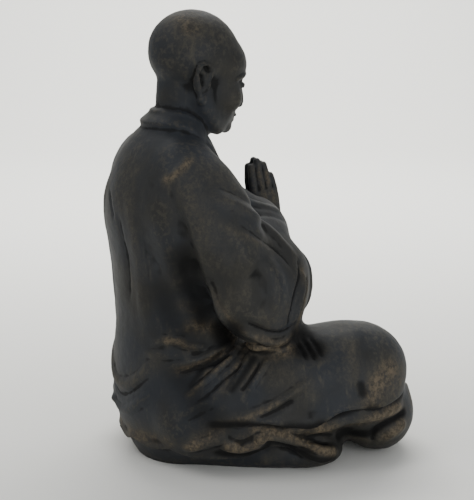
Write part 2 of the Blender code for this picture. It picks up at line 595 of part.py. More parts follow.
def head_frame():
    """From the head's own frame to the figurine's: bowed about the pivot at its middle."""
    turn = Matrix.Rotation(math.radians(HEAD_BOW), 4, "X")
    spot = Matrix.Translation(UNIT * Vector(HEAD_PLACE))
    return spot @ turn @ Matrix.Translation(-HEAD_HEIGHT * Vector(HEAD_PIVOT))


def hand_frame():
    """From a hand's own frame to the figurine's: the fingers lean back towards the chin."""
    turn = Matrix.Rotation(math.radians(-HAND_LEAN), 4, "X")
    return Matrix.Translation(UNIT * Vector(WRIST_PLACE)) @ turn


def mirrored_ball(form):
    centre, radii = form
    return (-centre[0], centre[1], centre[2]), radii


def block_robe(bm):
    for stations in (TORSO, CHEST, LAP, SEAT, THIGH, LEFT_THIGH):
        limb(bm, stations)
    for stations in (KNEE_CLOTH, LEFT_KNEE_CLOTH):
        limb(bm, stations, UPRIGHT)
    for turned in (tuple, mirrored):
        for stations in (SHOULDER, UPPER_ARM, BACK_CLOTH, ARM_CLOTH, ARMPIT_CLOTH, SLEEVE_LINING):
            limb(bm, turned(stations))
        limb(bm, turned(SLEEVE), UPRIGHT)
        limb(bm, turned(FOREARM), SLANTING)
        limb(bm, turned(SHIN), FORWARD)


def block_head(bm):
    place = head_frame()
    limb(bm, NECK)
    for form in (SKULL, CROWN, FOREHEAD, CHIN, MUZZLE):
        ball(bm, form, HEAD_HEIGHT, place)
    limb(bm, FACE, scale=HEAD_HEIGHT, place=place)
    for turned in (tuple, mirrored):
        limb(bm, turned(JAW), scale=HEAD_HEIGHT, place=place)
    for turned in (tuple, mirrored_ball):
        ball(bm, turned(CHEEK), HEAD_HEIGHT, place)


def add_face(bm):
    place = head_frame()
    limb(bm, NOSE, scale=HEAD_HEIGHT, place=place)
    for stations in (UPPER_LIP, LOWER_LIP):
        limb(bm, stations, UPRIGHT, HEAD_HEIGHT, place)
    for turned in (tuple, mirrored):
        limb(bm, turned(BROW), UPRIGHT, HEAD_HEIGHT, place)
        limb(bm, turned(EAR_RIM), scale=HEAD_HEIGHT, place=place)
    for turned in (tuple, mirrored_ball):
        for form in (EYEBALL, NOSE_WING, EAR_PLATE, EAR_LOBE, TRAGUS):
            ball(bm, turned(form), HEAD_HEIGHT, place)


def add_hands(bm):
    place = hand_frame()
    for turned in (tuple, mirrored):
        for stations in (WRIST, PALM, THUMB, INDEX, MIDDLE, RING, LITTLE):
            limb(bm, turned(stations), scale=HAND_LENGTH, place=place)


def seen_from(view, lines):
    return [(kind, view, height, width, places) for kind, height, width, places in lines]


def other_side(lines):
    """The same lines with left and right exchanged, for places whose first number is x."""
    return [(kind, height, width, mirrored(places)) for kind, height, width, places in lines]


def carve_robe(skin):
    carve(skin, seen_from("near", (COLLAR,)) + seen_from("front", LAPELS))
    lines = seen_from("right", SIDE_FOLDS + RIGHT_FOLDS) + seen_from("left", SIDE_FOLDS)
    lines += seen_from("back", BACK_FOLDS) + seen_from("front", FRONT_FOLDS)
    lines += seen_from("front", SLEEVE_FOLDS) + seen_from("front", other_side(SLEEVE_FOLDS))
    lines += seen_from("near", (SLEEVE_RIM,)) + seen_from("near", other_side((SLEEVE_RIM,)))
    carve(skin, lines)


def carve_face(skin):
    sides = FACE_LINES + (EAR_LINE,)
    lines = seen_from("near", sides) + seen_from("near", other_side(sides))
    lines += seen_from("near", (MOUTH_LINE, PHILTRUM))
    carve(skin, lines, HEAD_HEIGHT, head_frame())


def thinned(skin):
    """The same skin with fewer, larger faces."""
    shape = bpy.data.objects.new("fine", skin)
    bpy.context.scene.collection.objects.link(shape)
    thin = shape.modifiers.new("thin", "DECIMATE")
    thin.ratio = TRIANGLES / (2 * len(skin.polygons))
    graph = bpy.context.evaluated_depsgraph_get()
    coarse = bpy.data.meshes.new_from_object(shape.evaluated_get(graph))
    bpy.data.objects.remove(shape)
    bpy.data.meshes.remove(skin)
    return coarse


def cut_flat(skin):
    """The underside sawn off flat on the ground, and the figurine centred over the origin."""
    bm = bmesh.new()
    bm.from_mesh(skin)
    everything = bm.verts[:] + bm.edges[:] + bm.faces[:]
    bmesh.ops.bisect_plane(bm, geom=everything, dist=CUT_MERGE, plane_co=(0, 0, 0), plane_no=(0, 0, -1),
                           clear_outer=True)
    for vert in bm.verts:
        if abs(vert.co.z) < CUT_MERGE:
            vert.co.z = 0
    bmesh.ops.holes_fill(bm, edges=[edge for edge in bm.edges if edge.is_boundary])
    spots = np.array([vert.co for vert in bm.verts])
    middle = (spots.min(0) + spots.max(0)) / 2
    bmesh.ops.translate(bm, verts=bm.verts, vec=(-middle[0], -middle[1], 0))
    for face in bm.faces:
        face.smooth = abs(face.normal.z) < FLAT or face.calc_center_median().z > CUT_MERGE
    bm.to_mesh(skin)
    bm.free()


def charcoal_resin():
    """Painted cast resin: near-black, half matt, with no metal in it."""
    material = bpy.data.materials.new("charcoal_resin")
    material.use_nodes = True
    surface = material.node_tree.nodes["Principled BSDF"]
    surface.inputs["Base Color"].default_value = RESIN_COLOR
    surface.inputs["Roughness"].default_value = RESIN_ROUGHNESS
    surface.inputs["Metallic"].default_value = 0.0
    material.diffuse_color = RESIN_COLOR
    return material


def main():
    for obj in list(bpy.data.objects):
        bpy.data.objects.remove(obj)
    skin = fused((block_robe,), ROBE_VOXEL, ROBE_RUBS)
    skin = fused((block_head,), HEAD_VOXEL, HEAD_RUBS, skin)
    skin = fused((), SKIN_VOXEL, SKIN_RUBS, skin)
    carve_robe(skin)
    skin = fused((add_face, add_hands), SKIN_VOXEL, SKIN_RUBS, skin)
    carve_face(skin)
    skin = thinned(skin)
    cut_flat(skin)
    skin.name = "monk_figurine"
    skin.materials.clear()
    skin.materials.append(charcoal_resin())
    collection = bpy.data.collections.new("monk_figurine")
    bpy.context.scene.collection.children.link(collection)
    collection.objects.link(bpy.data.objects.new("monk_figurine", skin))


main()
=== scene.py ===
"""Monk figurine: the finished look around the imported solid.

The figure is modelled from the same forms as the solid, finer, with more folds and the face, and
is painted in near-black with brown rubbed over its folds. Places and radii in the tables are shares
of UNIT. The figure looks along -Y, its right hand lies on the -X side, and it stands on Z = 0.
"""

import math

import bmesh
import bpy
import numpy as np
from bpy.props import FloatProperty, FloatVectorProperty, IntProperty, PointerProperty
from mathutils import Matrix, Vector, noise
from mathutils.bvhtree import BVHTree


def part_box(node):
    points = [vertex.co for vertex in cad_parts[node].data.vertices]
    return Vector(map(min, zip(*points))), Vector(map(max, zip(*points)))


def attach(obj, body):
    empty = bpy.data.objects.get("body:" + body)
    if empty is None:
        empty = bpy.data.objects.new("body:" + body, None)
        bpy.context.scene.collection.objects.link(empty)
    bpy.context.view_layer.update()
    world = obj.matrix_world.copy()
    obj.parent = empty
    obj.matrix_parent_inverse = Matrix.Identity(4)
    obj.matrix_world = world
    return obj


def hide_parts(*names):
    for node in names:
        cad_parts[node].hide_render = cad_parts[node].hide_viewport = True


bl_info = {
    "name": "Monk Figurine",
    "version": (1, 0, 0),
    "blender": (4, 5, 0),
    "location": "View3D > Sidebar > Figurine",
    "description": "Models and paints a seated monk figurine and sets its stage",
    "category": "Object",
}

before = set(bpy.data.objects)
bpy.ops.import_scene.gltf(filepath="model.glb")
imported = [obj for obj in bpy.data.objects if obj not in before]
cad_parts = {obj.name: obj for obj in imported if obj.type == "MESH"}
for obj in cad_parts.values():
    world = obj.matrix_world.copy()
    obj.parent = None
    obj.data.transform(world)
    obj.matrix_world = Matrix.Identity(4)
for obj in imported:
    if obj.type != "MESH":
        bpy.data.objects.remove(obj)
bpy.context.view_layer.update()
BOX_LOW, BOX_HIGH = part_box("monk_figurine")
UP = Vector((0, 0, 1))

# Driving dimensions, in metres
FIGURE_HEIGHT = BOX_HIGH[2] - BOX_LOW[2]
CROWN_PLACE = 0.983
UNIT = FIGURE_HEIGHT / CROWN_PLACE
HEAD_HEIGHT = 0.26 * UNIT
HAND_LENGTH = 0.185 * UNIT

# How the head and the joined hands are set, in degrees and in shares of UNIT
HEAD_BOW = 12.0
HEAD_PLACE = (0.0, -0.066, 0.852)
HAND_LEAN = 11.0
WRIST_PLACE = (0.0, -0.250, 0.478)

# Fineness of the modelling: voxels in metres, then counts of faces, rings and rows
ROBE_VOXEL = UNIT / 80
HEAD_VOXEL = UNIT / 130
TRIANGLES = 190000
AROUND = 28
ALONG = 28
BALL_FINENESS = 4
CURVE_ROWS = 160

# How often each skin is rubbed smooth after it is fused, and how hard
ROBE_RUBS = 12
HEAD_RUBS = 4
SKIN_RUBS = 1
RUB = 0.5

# How the folds are shaped, in shares of their half width, and of their length for the taper, and how
# fast they fade where the skin turns away from the side their line is drawn on
BAND_BORDER = 0.3
STEP_DROP = 0.25
TAPER = 0.25
TURNED_FADE = 2.0
LINE_SPOTS = 48

# The casting's unevenness: the size of its broad and its fine grain in metres, and what each adds
BROAD_GRAIN = 0.055 * UNIT
FINE_GRAIN = 0.016 * UNIT
BROAD_SHARE = 0.65
FINE_SHARE = 0.35

# How the underside is sawn: what is merged at the cut, in metres, and how level a flat face is
CUT_MERGE = 0.00001
FLAT = 0.999

# A vertex nearer than this to a ball's axis is its pole, and line spots this near are one, in metres
POLE = 1e-6
SAME_SPOT = 1e-7

# Form tables of the body: each station is (x, y, z, half width, half depth)
TORSO = (
    (0.0, -0.010, -0.060, 0.070, 0.050),
    (0.0, -0.005, 0.020, 0.125, 0.092),
    (0.0, -0.005, 0.110, 0.175, 0.126),
    (0.0, -0.008, 0.210, 0.178, 0.130),
    (0.0, -0.010, 0.330, 0.168, 0.124),
    (0.0, -0.004, 0.460, 0.166, 0.128),
    (0.0, 0.006, 0.570, 0.170, 0.132),
    (0.0, 0.000, 0.655, 0.146, 0.108),
    (0.0, -0.016, 0.725, 0.096, 0.072),
    (0.0, -0.028, 0.775, 0.064, 0.054),
)
NECK = (
    (0.0, -0.018, 0.690, 0.062, 0.060),
    (0.0, -0.032, 0.750, 0.058, 0.060),
    (0.0, -0.041, 0.820, 0.056, 0.064),
    (0.0, -0.050, 0.880, 0.050, 0.055),
)
SHOULDER = (
    (-0.050, 0.000, 0.690, 0.060, 0.064),
    (-0.110, 0.004, 0.655, 0.064, 0.075),
    (-0.156, -0.006, 0.605, 0.066, 0.092),
    (-0.185, -0.020, 0.530, 0.060, 0.088),
)
CHEST = (
    (0.0, -0.070, 0.200, 0.120, 0.090),
    (0.0, -0.075, 0.360, 0.125, 0.090),
    (0.0, -0.050, 0.500, 0.120, 0.082),
    (0.0, -0.030, 0.610, 0.095, 0.062),
)
UPPER_ARM = (
    (-0.140, 0.000, 0.636, 0.060, 0.081),
    (-0.182, -0.026, 0.570, 0.062, 0.086),
    (-0.208, -0.060, 0.490, 0.060, 0.076),
    (-0.218, -0.100, 0.420, 0.055, 0.066),
)
BACK_CLOTH = (
    (-0.100, 0.024, 0.634, 0.050, 0.068),
    (-0.135, 0.028, 0.560, 0.050, 0.073),
    (-0.148, 0.010, 0.480, 0.046, 0.068),
    (-0.140, 0.000, 0.400, 0.040, 0.060),
)
FOREARM = (
    (-0.218, -0.070, 0.450, 0.056, 0.056),
    (-0.165, -0.136, 0.474, 0.066, 0.056),
    (-0.110, -0.180, 0.507, 0.070, 0.048),
    (-0.064, -0.203, 0.535, 0.064, 0.036),
    (-0.034, -0.213, 0.547, 0.058, 0.028),
)
ARM_CLOTH = (
    (-0.060, -0.020, 0.672, 0.040, 0.046),
    (-0.090, -0.060, 0.612, 0.048, 0.050),
    (-0.084, -0.122, 0.562, 0.044, 0.048),
    (-0.050, -0.180, 0.535, 0.034, 0.042),
)
ARMPIT_CLOTH = (
    (-0.130, -0.060, 0.560, 0.060, 0.070),
    (-0.140, -0.110, 0.500, 0.060, 0.060),
    (-0.110, -0.160, 0.500, 0.050, 0.045),
)
SLEEVE_LINING = (
    (-0.135, -0.070, 0.470, 0.050, 0.062),
    (-0.146, -0.082, 0.390, 0.052, 0.066),
    (-0.152, -0.090, 0.320, 0.050, 0.056),
)
SLEEVE = (
    (-0.212, -0.035, 0.455, 0.060, 0.046),
    (-0.220, -0.092, 0.402, 0.094, 0.056),
    (-0.205, -0.148, 0.382, 0.100, 0.062),
    (-0.172, -0.199, 0.411, 0.088, 0.055),
    (-0.125, -0.243, 0.440, 0.080, 0.041),
)
THIGH = (
    (-0.060, 0.070, 0.100, 0.100, 0.080),
    (-0.130, -0.040, 0.135, 0.112, 0.110),
    (-0.180, -0.170, 0.172, 0.116, 0.118),
    (-0.205, -0.310, 0.196, 0.112, 0.118),
    (-0.204, -0.396, 0.183, 0.108, 0.116),
    (-0.195, -0.472, 0.162, 0.085, 0.101),
)
LEFT_THIGH = (
    (0.060, 0.070, 0.100, 0.100, 0.080),
    (0.130, -0.040, 0.130, 0.112, 0.108),
    (0.180, -0.160, 0.152, 0.114, 0.106),
    (0.200, -0.280, 0.148, 0.109, 0.098),
    (0.198, -0.350, 0.133, 0.102, 0.092),
    (0.188, -0.418, 0.118, 0.085, 0.082),
)
SHIN = (
    (-0.215, -0.330, 0.082, 0.082, 0.080),
    (-0.198, -0.426, 0.087, 0.082, 0.086),
    (-0.120, -0.450, 0.080, 0.070, 0.072),
    (-0.020, -0.410, 0.080, 0.070, 0.070),
    (0.080, -0.340, 0.075, 0.065, 0.065),
)
LAP = (
    (0.0, -0.060, 0.150, 0.130, 0.150),
    (0.0, -0.200, 0.145, 0.180, 0.140),
    (0.0, -0.330, 0.120, 0.190, 0.120),
    (0.0, -0.450, 0.085, 0.150, 0.080),
)
KNEE_CLOTH = (
    (-0.190, -0.350, 0.240, 0.060, 0.060),
    (-0.100, -0.370, 0.190, 0.060, 0.060),
    (0.020, -0.380, 0.150, 0.060, 0.060),
)
LEFT_KNEE_CLOTH = (
    (0.172, -0.290, 0.185, 0.060, 0.060),
    (0.100, -0.330, 0.155, 0.060, 0.060),
    (-0.020, -0.360, 0.135, 0.060, 0.060),
)
SEAT = (
    (0.0, 0.075, 0.030, 0.070, 0.050),
    (0.0, 0.000, 0.030, 0.135, 0.055),
    (0.0, -0.090, 0.030, 0.205, 0.056),
    (0.0, -0.170, 0.030, 0.254, 0.057),
    (0.0, -0.240, 0.030, 0.285, 0.057),
    (0.0, -0.348, 0.030, 0.248, 0.052),
)

# The head in shares of its own height: chin at z 0, crown at z 1, the face along -y
HEAD_PIVOT = (0.0, 0.030, 0.500)
SKULL = ((0.0, 0.084, 0.645), (0.335, 0.386, 0.352))
CROWN = ((0.0, -0.004, 0.638), (0.306, 0.320, 0.314))
FOREHEAD = ((0.0, -0.120, 0.592), (0.288, 0.272, 0.258))
FACE = (
    (0.0, -0.090, 0.700, 0.250, 0.230),
    (0.0, -0.145, 0.500, 0.262, 0.236),
    (0.0, -0.165, 0.340, 0.250, 0.218),
    (0.0, -0.185, 0.200, 0.210, 0.190),
    (0.0, -0.205, 0.020, 0.130, 0.130),
)
JAW = (
    (-0.240, 0.070, 0.430, 0.050, 0.085),
    (-0.232, 0.020, 0.270, 0.056, 0.085),
    (-0.175, -0.110, 0.130, 0.066, 0.080),
    (-0.050, -0.270, 0.050, 0.064, 0.066),
)
CHIN = ((0.0, -0.322, 0.092), (0.080, 0.062, 0.064))
CHEEK = ((-0.150, -0.250, 0.330), (0.110, 0.110, 0.120))
MUZZLE = ((0.0, -0.300, 0.200), (0.125, 0.084, 0.090))
BROW = (
    (-0.020, -0.364, 0.520, 0.016, 0.016),
    (-0.100, -0.364, 0.546, 0.022, 0.018),
    (-0.190, -0.316, 0.533, 0.020, 0.018),
    (-0.250, -0.233, 0.490, 0.014, 0.014),
)
EYEBALL = ((-0.122, -0.318, 0.455), (0.064, 0.055, 0.046))
NOSE = (
    (0.0, -0.346, 0.540, 0.026, 0.026),
    (0.0, -0.380, 0.450, 0.028, 0.030),
    (0.0, -0.408, 0.360, 0.034, 0.036),
    (0.0, -0.420, 0.285, 0.040, 0.040),
)
NOSE_WING = ((-0.044, -0.388, 0.298), (0.030, 0.042, 0.032))
UPPER_LIP = (
    (-0.092, -0.346, 0.188, 0.010, 0.012),
    (-0.045, -0.374, 0.200, 0.018, 0.016),
    (0.0, -0.381, 0.197, 0.016, 0.016),
    (0.045, -0.374, 0.200, 0.018, 0.016),
    (0.092, -0.346, 0.188, 0.010, 0.012),
)
LOWER_LIP = (
    (-0.072, -0.348, 0.170, 0.010, 0.012),
    (0.0, -0.372, 0.155, 0.022, 0.018),
    (0.072, -0.348, 0.170, 0.010, 0.012),
)
EAR_PLATE = ((-0.285, 0.090, 0.435), (0.034, 0.068, 0.122))
EAR_RIM = (
    (-0.285, 0.020, 0.440, 0.016, 0.018),
    (-0.300, 0.022, 0.520, 0.020, 0.020),
    (-0.318, 0.080, 0.565, 0.022, 0.022),
    (-0.332, 0.138, 0.536, 0.022, 0.022),
    (-0.326, 0.150, 0.455, 0.020, 0.020),
    (-0.306, 0.110, 0.352, 0.018, 0.020),
    (-0.290, 0.070, 0.285, 0.016, 0.018),
)
EAR_LOBE = ((-0.280, 0.052, 0.284), (0.032, 0.042, 0.052))
TRAGUS = ((-0.285, 0.020, 0.405), (0.026, 0.022, 0.034))

# A hand in shares of its own length: wrist at z 0, middle fingertip at z 1, the thumb along +y
PALM = (
    (-0.075, 0.000, -0.080, 0.070, 0.130),
    (-0.072, 0.022, 0.120, 0.070, 0.160),
    (-0.070, 0.028, 0.340, 0.068, 0.182),
    (-0.066, 0.020, 0.600, 0.056, 0.180),
)
INDEX = (
    (-0.060, 0.150, 0.480, 0.054, 0.056),
    (-0.056, 0.150, 0.700, 0.050, 0.052),
    (-0.044, 0.125, 0.930, 0.040, 0.042),
)
MIDDLE = (
    (-0.060, 0.050, 0.500, 0.056, 0.056),
    (-0.056, 0.050, 0.740, 0.052, 0.052),
    (-0.044, 0.040, 0.985, 0.042, 0.042),
)
RING = (
    (-0.060, -0.036, 0.490, 0.054, 0.052),
    (-0.056, -0.040, 0.710, 0.050, 0.048),
    (-0.042, -0.036, 0.920, 0.040, 0.038),
)
LITTLE = (
    (-0.058, -0.112, 0.430, 0.048, 0.046),
    (-0.050, -0.118, 0.600, 0.044, 0.042),
    (-0.038, -0.106, 0.770, 0.036, 0.034),
)
WRIST = (
    (-0.800, 0.350, 0.080, 0.150, 0.140),
    (-0.400, 0.200, 0.060, 0.130, 0.125),
    (-0.120, 0.045, 0.060, 0.100, 0.115),
)
THUMB = (
    (-0.066, 0.100, 0.080, 0.070, 0.075),
    (-0.062, 0.200, 0.260, 0.062, 0.066),
    (-0.056, 0.240, 0.420, 0.056, 0.056),
    (-0.046, 0.225, 0.600, 0.042, 0.042),
)

# Folds, creases and hems, each as (kind, height, half width, places), all but the kind in shares of
# UNIT. The places are drawn flat on the side they are seen from: (y, z) from the right and from the
# left, (x, z) from the front and from the back. Those with x, y and z lie on the skin nearest to them.
SIDE_FOLDS = (
    # The arm, its sleeve and the cuff
    ("ridge", 0.006, 0.018, ((0.000, 0.618), (-0.060, 0.592), (-0.115, 0.558), (-0.152, 0.530),
        (-0.180, 0.498), (-0.205, 0.462))),
    ("crease", -0.004, 0.014, ((-0.010, 0.636), (-0.070, 0.610), (-0.120, 0.574), (-0.156, 0.548))),
    ("crease", -0.005, 0.016, ((-0.050, 0.560), (-0.110, 0.520), (-0.160, 0.482), (-0.190, 0.440))),
    ("ridge", 0.006, 0.030, ((-0.020, 0.560), (-0.055, 0.505), (-0.070, 0.450))),
    ("ridge", 0.006, 0.030, ((-0.110, 0.485), (-0.135, 0.435), (-0.130, 0.375))),
    ("ridge", -0.006, 0.030, ((-0.070, 0.480), (-0.095, 0.420), (-0.095, 0.365))),
    ("crease", -0.010, 0.011, ((-0.206, 0.468), (-0.203, 0.435), (-0.180, 0.395), (-0.166, 0.345),
        (-0.170, 0.320))),
    ("ridge", 0.007, 0.010, ((-0.216, 0.440), (-0.208, 0.405), (-0.190, 0.365), (-0.182, 0.330))),
    ("crease", -0.008, 0.009, ((-0.230, 0.430), (-0.223, 0.398), (-0.206, 0.362), (-0.196, 0.330))),
    ("ridge", 0.011, 0.013, ((-0.050, 0.338), (-0.082, 0.322), (-0.122, 0.302), (-0.160, 0.298),
        (-0.188, 0.312))),
    ("crease", -0.010, 0.011, ((-0.058, 0.356), (-0.090, 0.338), (-0.128, 0.322), (-0.165, 0.320),
        (-0.188, 0.334))),
    ("ridge", -0.013, 0.030, ((0.075, 0.640), (0.066, 0.585), (0.050, 0.530), (0.035, 0.480),
        (0.022, 0.430))),
    # The hollow between the sleeve and the waist
    ("ridge", -0.014, 0.034, ((0.045, 0.480), (0.018, 0.420), (-0.012, 0.370), (-0.030, 0.330))),
    # The cloth drawn together in the lap
    ("ridge", 0.010, 0.013, ((-0.165, 0.285), (-0.100, 0.285), (-0.043, 0.272), (0.020, 0.256),
        (0.070, 0.240))),
    ("crease", -0.008, 0.011, ((-0.085, 0.268), (-0.030, 0.250), (0.020, 0.236), (0.055, 0.224))),
    ("ridge", 0.009, 0.011, ((-0.092, 0.276), (-0.040, 0.245), (0.003, 0.214), (0.046, 0.182))),
    ("crease", -0.008, 0.010, ((-0.078, 0.252), (-0.032, 0.222), (0.005, 0.192), (0.030, 0.172))),
    ("ridge", 0.008, 0.011, ((-0.100, 0.270), (-0.074, 0.243), (-0.046, 0.214), (-0.026, 0.188))),
    ("crease", -0.007, 0.010, ((-0.108, 0.256), (-0.082, 0.228), (-0.056, 0.200))),
    ("ridge", 0.006, 0.012, ((-0.125, 0.262), (-0.095, 0.232), (-0.066, 0.200))),
    ("ridge", 0.007, 0.012, ((0.000, 0.186), (0.030, 0.166), (0.060, 0.145))),
    ("crease", -0.005, 0.011, ((-0.008, 0.170), (0.024, 0.150), (0.050, 0.132))),
    ("ridge", 0.006, 0.013, ((-0.205, 0.226), (-0.165, 0.202), (-0.120, 0.176), (-0.080, 0.158),
        (-0.040, 0.148))),
    ("crease", -0.006, 0.016, ((-0.160, 0.182), (-0.120, 0.162), (-0.080, 0.150))),
    # The knee
    ("ridge", -0.006, 0.028, ((-0.350, 0.300), (-0.326, 0.262), (-0.312, 0.212), (-0.322, 0.160))),
    # The hem of the upper cloth and the roll under it
    ("step", 0.017, 0.050, ((0.000, 0.140), (-0.047, 0.136), (-0.080, 0.142), (-0.111, 0.141),
        (-0.143, 0.132), (-0.184, 0.124), (-0.209, 0.124), (-0.232, 0.138), (-0.263, 0.154),
        (-0.314, 0.156), (-0.356, 0.152), (-0.396, 0.158), (-0.445, 0.163))),
    ("crease", -0.010, 0.012, ((-0.060, 0.126), (-0.111, 0.126), (-0.150, 0.116), (-0.205, 0.110),
        (-0.245, 0.130), (-0.314, 0.138), (-0.360, 0.134), (-0.400, 0.142), (-0.445, 0.148))),
    ("ridge", 0.012, 0.020, ((-0.205, 0.090), (-0.250, 0.104), (-0.290, 0.118), (-0.345, 0.115),
        (-0.400, 0.122), (-0.445, 0.130))),
    ("crease", -0.010, 0.012, ((-0.365, 0.082), (-0.392, 0.092), (-0.420, 0.102), (-0.450, 0.110))),
    ("crease", -0.009, 0.013, ((-0.372, 0.086), (-0.366, 0.064), (-0.374, 0.044))),
    ("ridge", 0.008, 0.026, ((-0.392, 0.062), (-0.424, 0.074), (-0.447, 0.088))),
    ("crease", -0.007, 0.010, ((-0.205, 0.078), (-0.245, 0.076), (-0.290, 0.066))),
    # The folded hem of the under-robe over the smooth seat
    ("ridge", 0.018, 0.017, ((-0.084, 0.094), (-0.120, 0.102), (-0.154, 0.093), (-0.188, 0.076),
        (-0.217, 0.058), (-0.246, 0.046), (-0.286, 0.044))),
    ("ridge", 0.015, 0.024, ((-0.024, 0.088), (-0.045, 0.076), (-0.068, 0.072), (-0.090, 0.082),
        (-0.110, 0.098))),
    ("ridge", 0.009, 0.020, ((0.050, 0.066), (0.020, 0.080), (-0.006, 0.092), (-0.034, 0.100))),
    ("step", 0.015, 0.024, ((0.055, 0.050), (0.020, 0.050), (-0.020, 0.050), (-0.048, 0.050),
        (-0.078, 0.048), (-0.100, 0.062), (-0.122, 0.080), (-0.152, 0.074), (-0.182, 0.056),
        (-0.212, 0.036), (-0.246, 0.028), (-0.290, 0.036))),
)
RIGHT_FOLDS = (
    ("ridge", 0.003, 0.014, ((0.020, 0.690), (0.070, 0.645))),
    ("ridge", 0.005, 0.013, ((0.065, 0.316), (0.040, 0.323), (0.012, 0.331), (-0.012, 0.324))),
    ("ridge", 0.006, 0.013, ((0.090, 0.288), (0.055, 0.300), (0.020, 0.288), (-0.020, 0.282))),
    ("ridge", 0.005, 0.012, ((0.100, 0.262), (0.060, 0.266), (0.015, 0.268))),
    ("ridge", 0.004, 0.013, ((0.030, 0.388), (0.008, 0.382), (-0.010, 0.372))),
    # The ribbed hollow under the sleeve's tip
    ("crease", -0.009, 0.008, ((-0.192, 0.296), (-0.195, 0.276), (-0.199, 0.256))),
    ("crease", -0.010, 0.008, ((-0.208, 0.300), (-0.211, 0.278), (-0.216, 0.256))),
    ("crease", -0.009, 0.008, ((-0.225, 0.298), (-0.228, 0.280), (-0.232, 0.262))),
)
SLEEVE_RIM = ("ridge", 0.007, 0.011, ((-0.200, 0.000, 0.440), (-0.218, -0.012, 0.400),
    (-0.232, -0.022, 0.366), (-0.234, -0.044, 0.334)))
BACK_FOLDS = (
    ("crease", -0.005, 0.009, ((0.022, 0.605), (0.000, 0.575), (-0.018, 0.545))),
    ("ridge", 0.004, 0.026, ((-0.070, 0.620), (-0.088, 0.520), (-0.085, 0.400), (-0.095, 0.300))),
    ("ridge", 0.004, 0.026, ((0.060, 0.630), (0.085, 0.510), (0.080, 0.390), (0.090, 0.300))),
    ("crease", -0.005, 0.022, ((-0.040, 0.560), (-0.050, 0.460), (-0.040, 0.360))),
    ("ridge", 0.006, 0.018, ((-0.130, 0.260), (-0.070, 0.196), (0.000, 0.174), (0.060, 0.194),
        (0.120, 0.256))),
    ("crease", -0.006, 0.016, ((-0.110, 0.214), (-0.050, 0.164), (0.010, 0.148), (0.080, 0.180))),
    ("ridge", 0.006, 0.016, ((-0.120, 0.180), (-0.050, 0.128), (0.010, 0.112), (0.080, 0.134))),
    ("ridge", 0.005, 0.014, ((0.030, 0.130), (0.090, 0.110), (0.140, 0.130))),
    ("step", 0.011, 0.026, ((0.150, 0.064), (0.105, 0.054), (0.060, 0.060), (0.010, 0.046),
        (-0.040, 0.058), (-0.090, 0.048), (-0.150, 0.062))),
)
FRONT_FOLDS = (
    ("ridge", 0.009, 0.014, ((-0.125, 0.262), (-0.060, 0.222), (0.010, 0.210), (0.075, 0.225),
        (0.120, 0.255))),
    ("crease", -0.007, 0.012, ((-0.115, 0.238), (-0.050, 0.202), (0.020, 0.192), (0.090, 0.214))),
    ("ridge", 0.009, 0.014, ((-0.140, 0.222), (-0.070, 0.185), (0.010, 0.172), (0.085, 0.188),
        (0.135, 0.220))),
    ("crease", -0.007, 0.012, ((-0.130, 0.200), (-0.060, 0.166), (0.015, 0.154), (0.095, 0.174))),
    ("ridge", 0.008, 0.014, ((-0.150, 0.185), (-0.080, 0.152), (0.000, 0.140), (0.080, 0.152),
        (0.140, 0.182))),
    ("step", 0.013, 0.040, ((0.240, 0.150), (0.190, 0.128), (0.120, 0.134), (0.050, 0.116),
        (-0.020, 0.124), (-0.090, 0.112), (-0.160, 0.130), (-0.240, 0.150))),
    ("ridge", 0.009, 0.015, ((-0.210, 0.104), (-0.140, 0.082), (-0.060, 0.070), (0.020, 0.074))),
    ("ridge", 0.009, 0.015, ((0.200, 0.104), (0.140, 0.080), (0.070, 0.056))),
    ("crease", -0.007, 0.012, ((-0.180, 0.074), (-0.110, 0.056), (-0.050, 0.050))),
    ("step", 0.010, 0.022, ((0.200, 0.048), (0.130, 0.032), (0.060, 0.044), (0.000, 0.030),
        (-0.070, 0.042), (-0.140, 0.030), (-0.200, 0.048))),
)
SLEEVE_FOLDS = (
    ("ridge", 0.007, 0.011, ((-0.110, 0.470), (-0.140, 0.430), (-0.150, 0.380), (-0.140, 0.330))),
    ("ridge", 0.007, 0.011, ((-0.150, 0.480), (-0.175, 0.430), (-0.180, 0.370), (-0.165, 0.320))),
    ("crease", -0.007, 0.010, ((-0.130, 0.475), (-0.158, 0.430), (-0.165, 0.375), (-0.152, 0.325))),
    ("ridge", 0.004, 0.014, ((-0.150, 0.610), (-0.120, 0.570), (-0.095, 0.540))),
    ("crease", -0.003, 0.014, ((-0.170, 0.580), (-0.135, 0.540), (-0.105, 0.515))),
)
LAPELS = (
    ("band", 0.008, 0.024, ((-0.070, 0.725), (-0.060, 0.690), (-0.035, 0.640), (0.005, 0.590),
        (0.040, 0.540))),
    ("band", 0.009, 0.024, ((0.070, 0.725), (0.060, 0.690), (0.030, 0.630), (-0.015, 0.565),
        (-0.050, 0.500), (-0.070, 0.430))),
)
COLLAR = ("band", 0.012, 0.028, ((0.072, -0.060, 0.715), (0.066, -0.018, 0.742), (0.045, 0.022, 0.754),
    (0.000, 0.042, 0.758), (-0.045, 0.022, 0.754), (-0.066, -0.018, 0.742), (-0.072, -0.060, 0.715)))

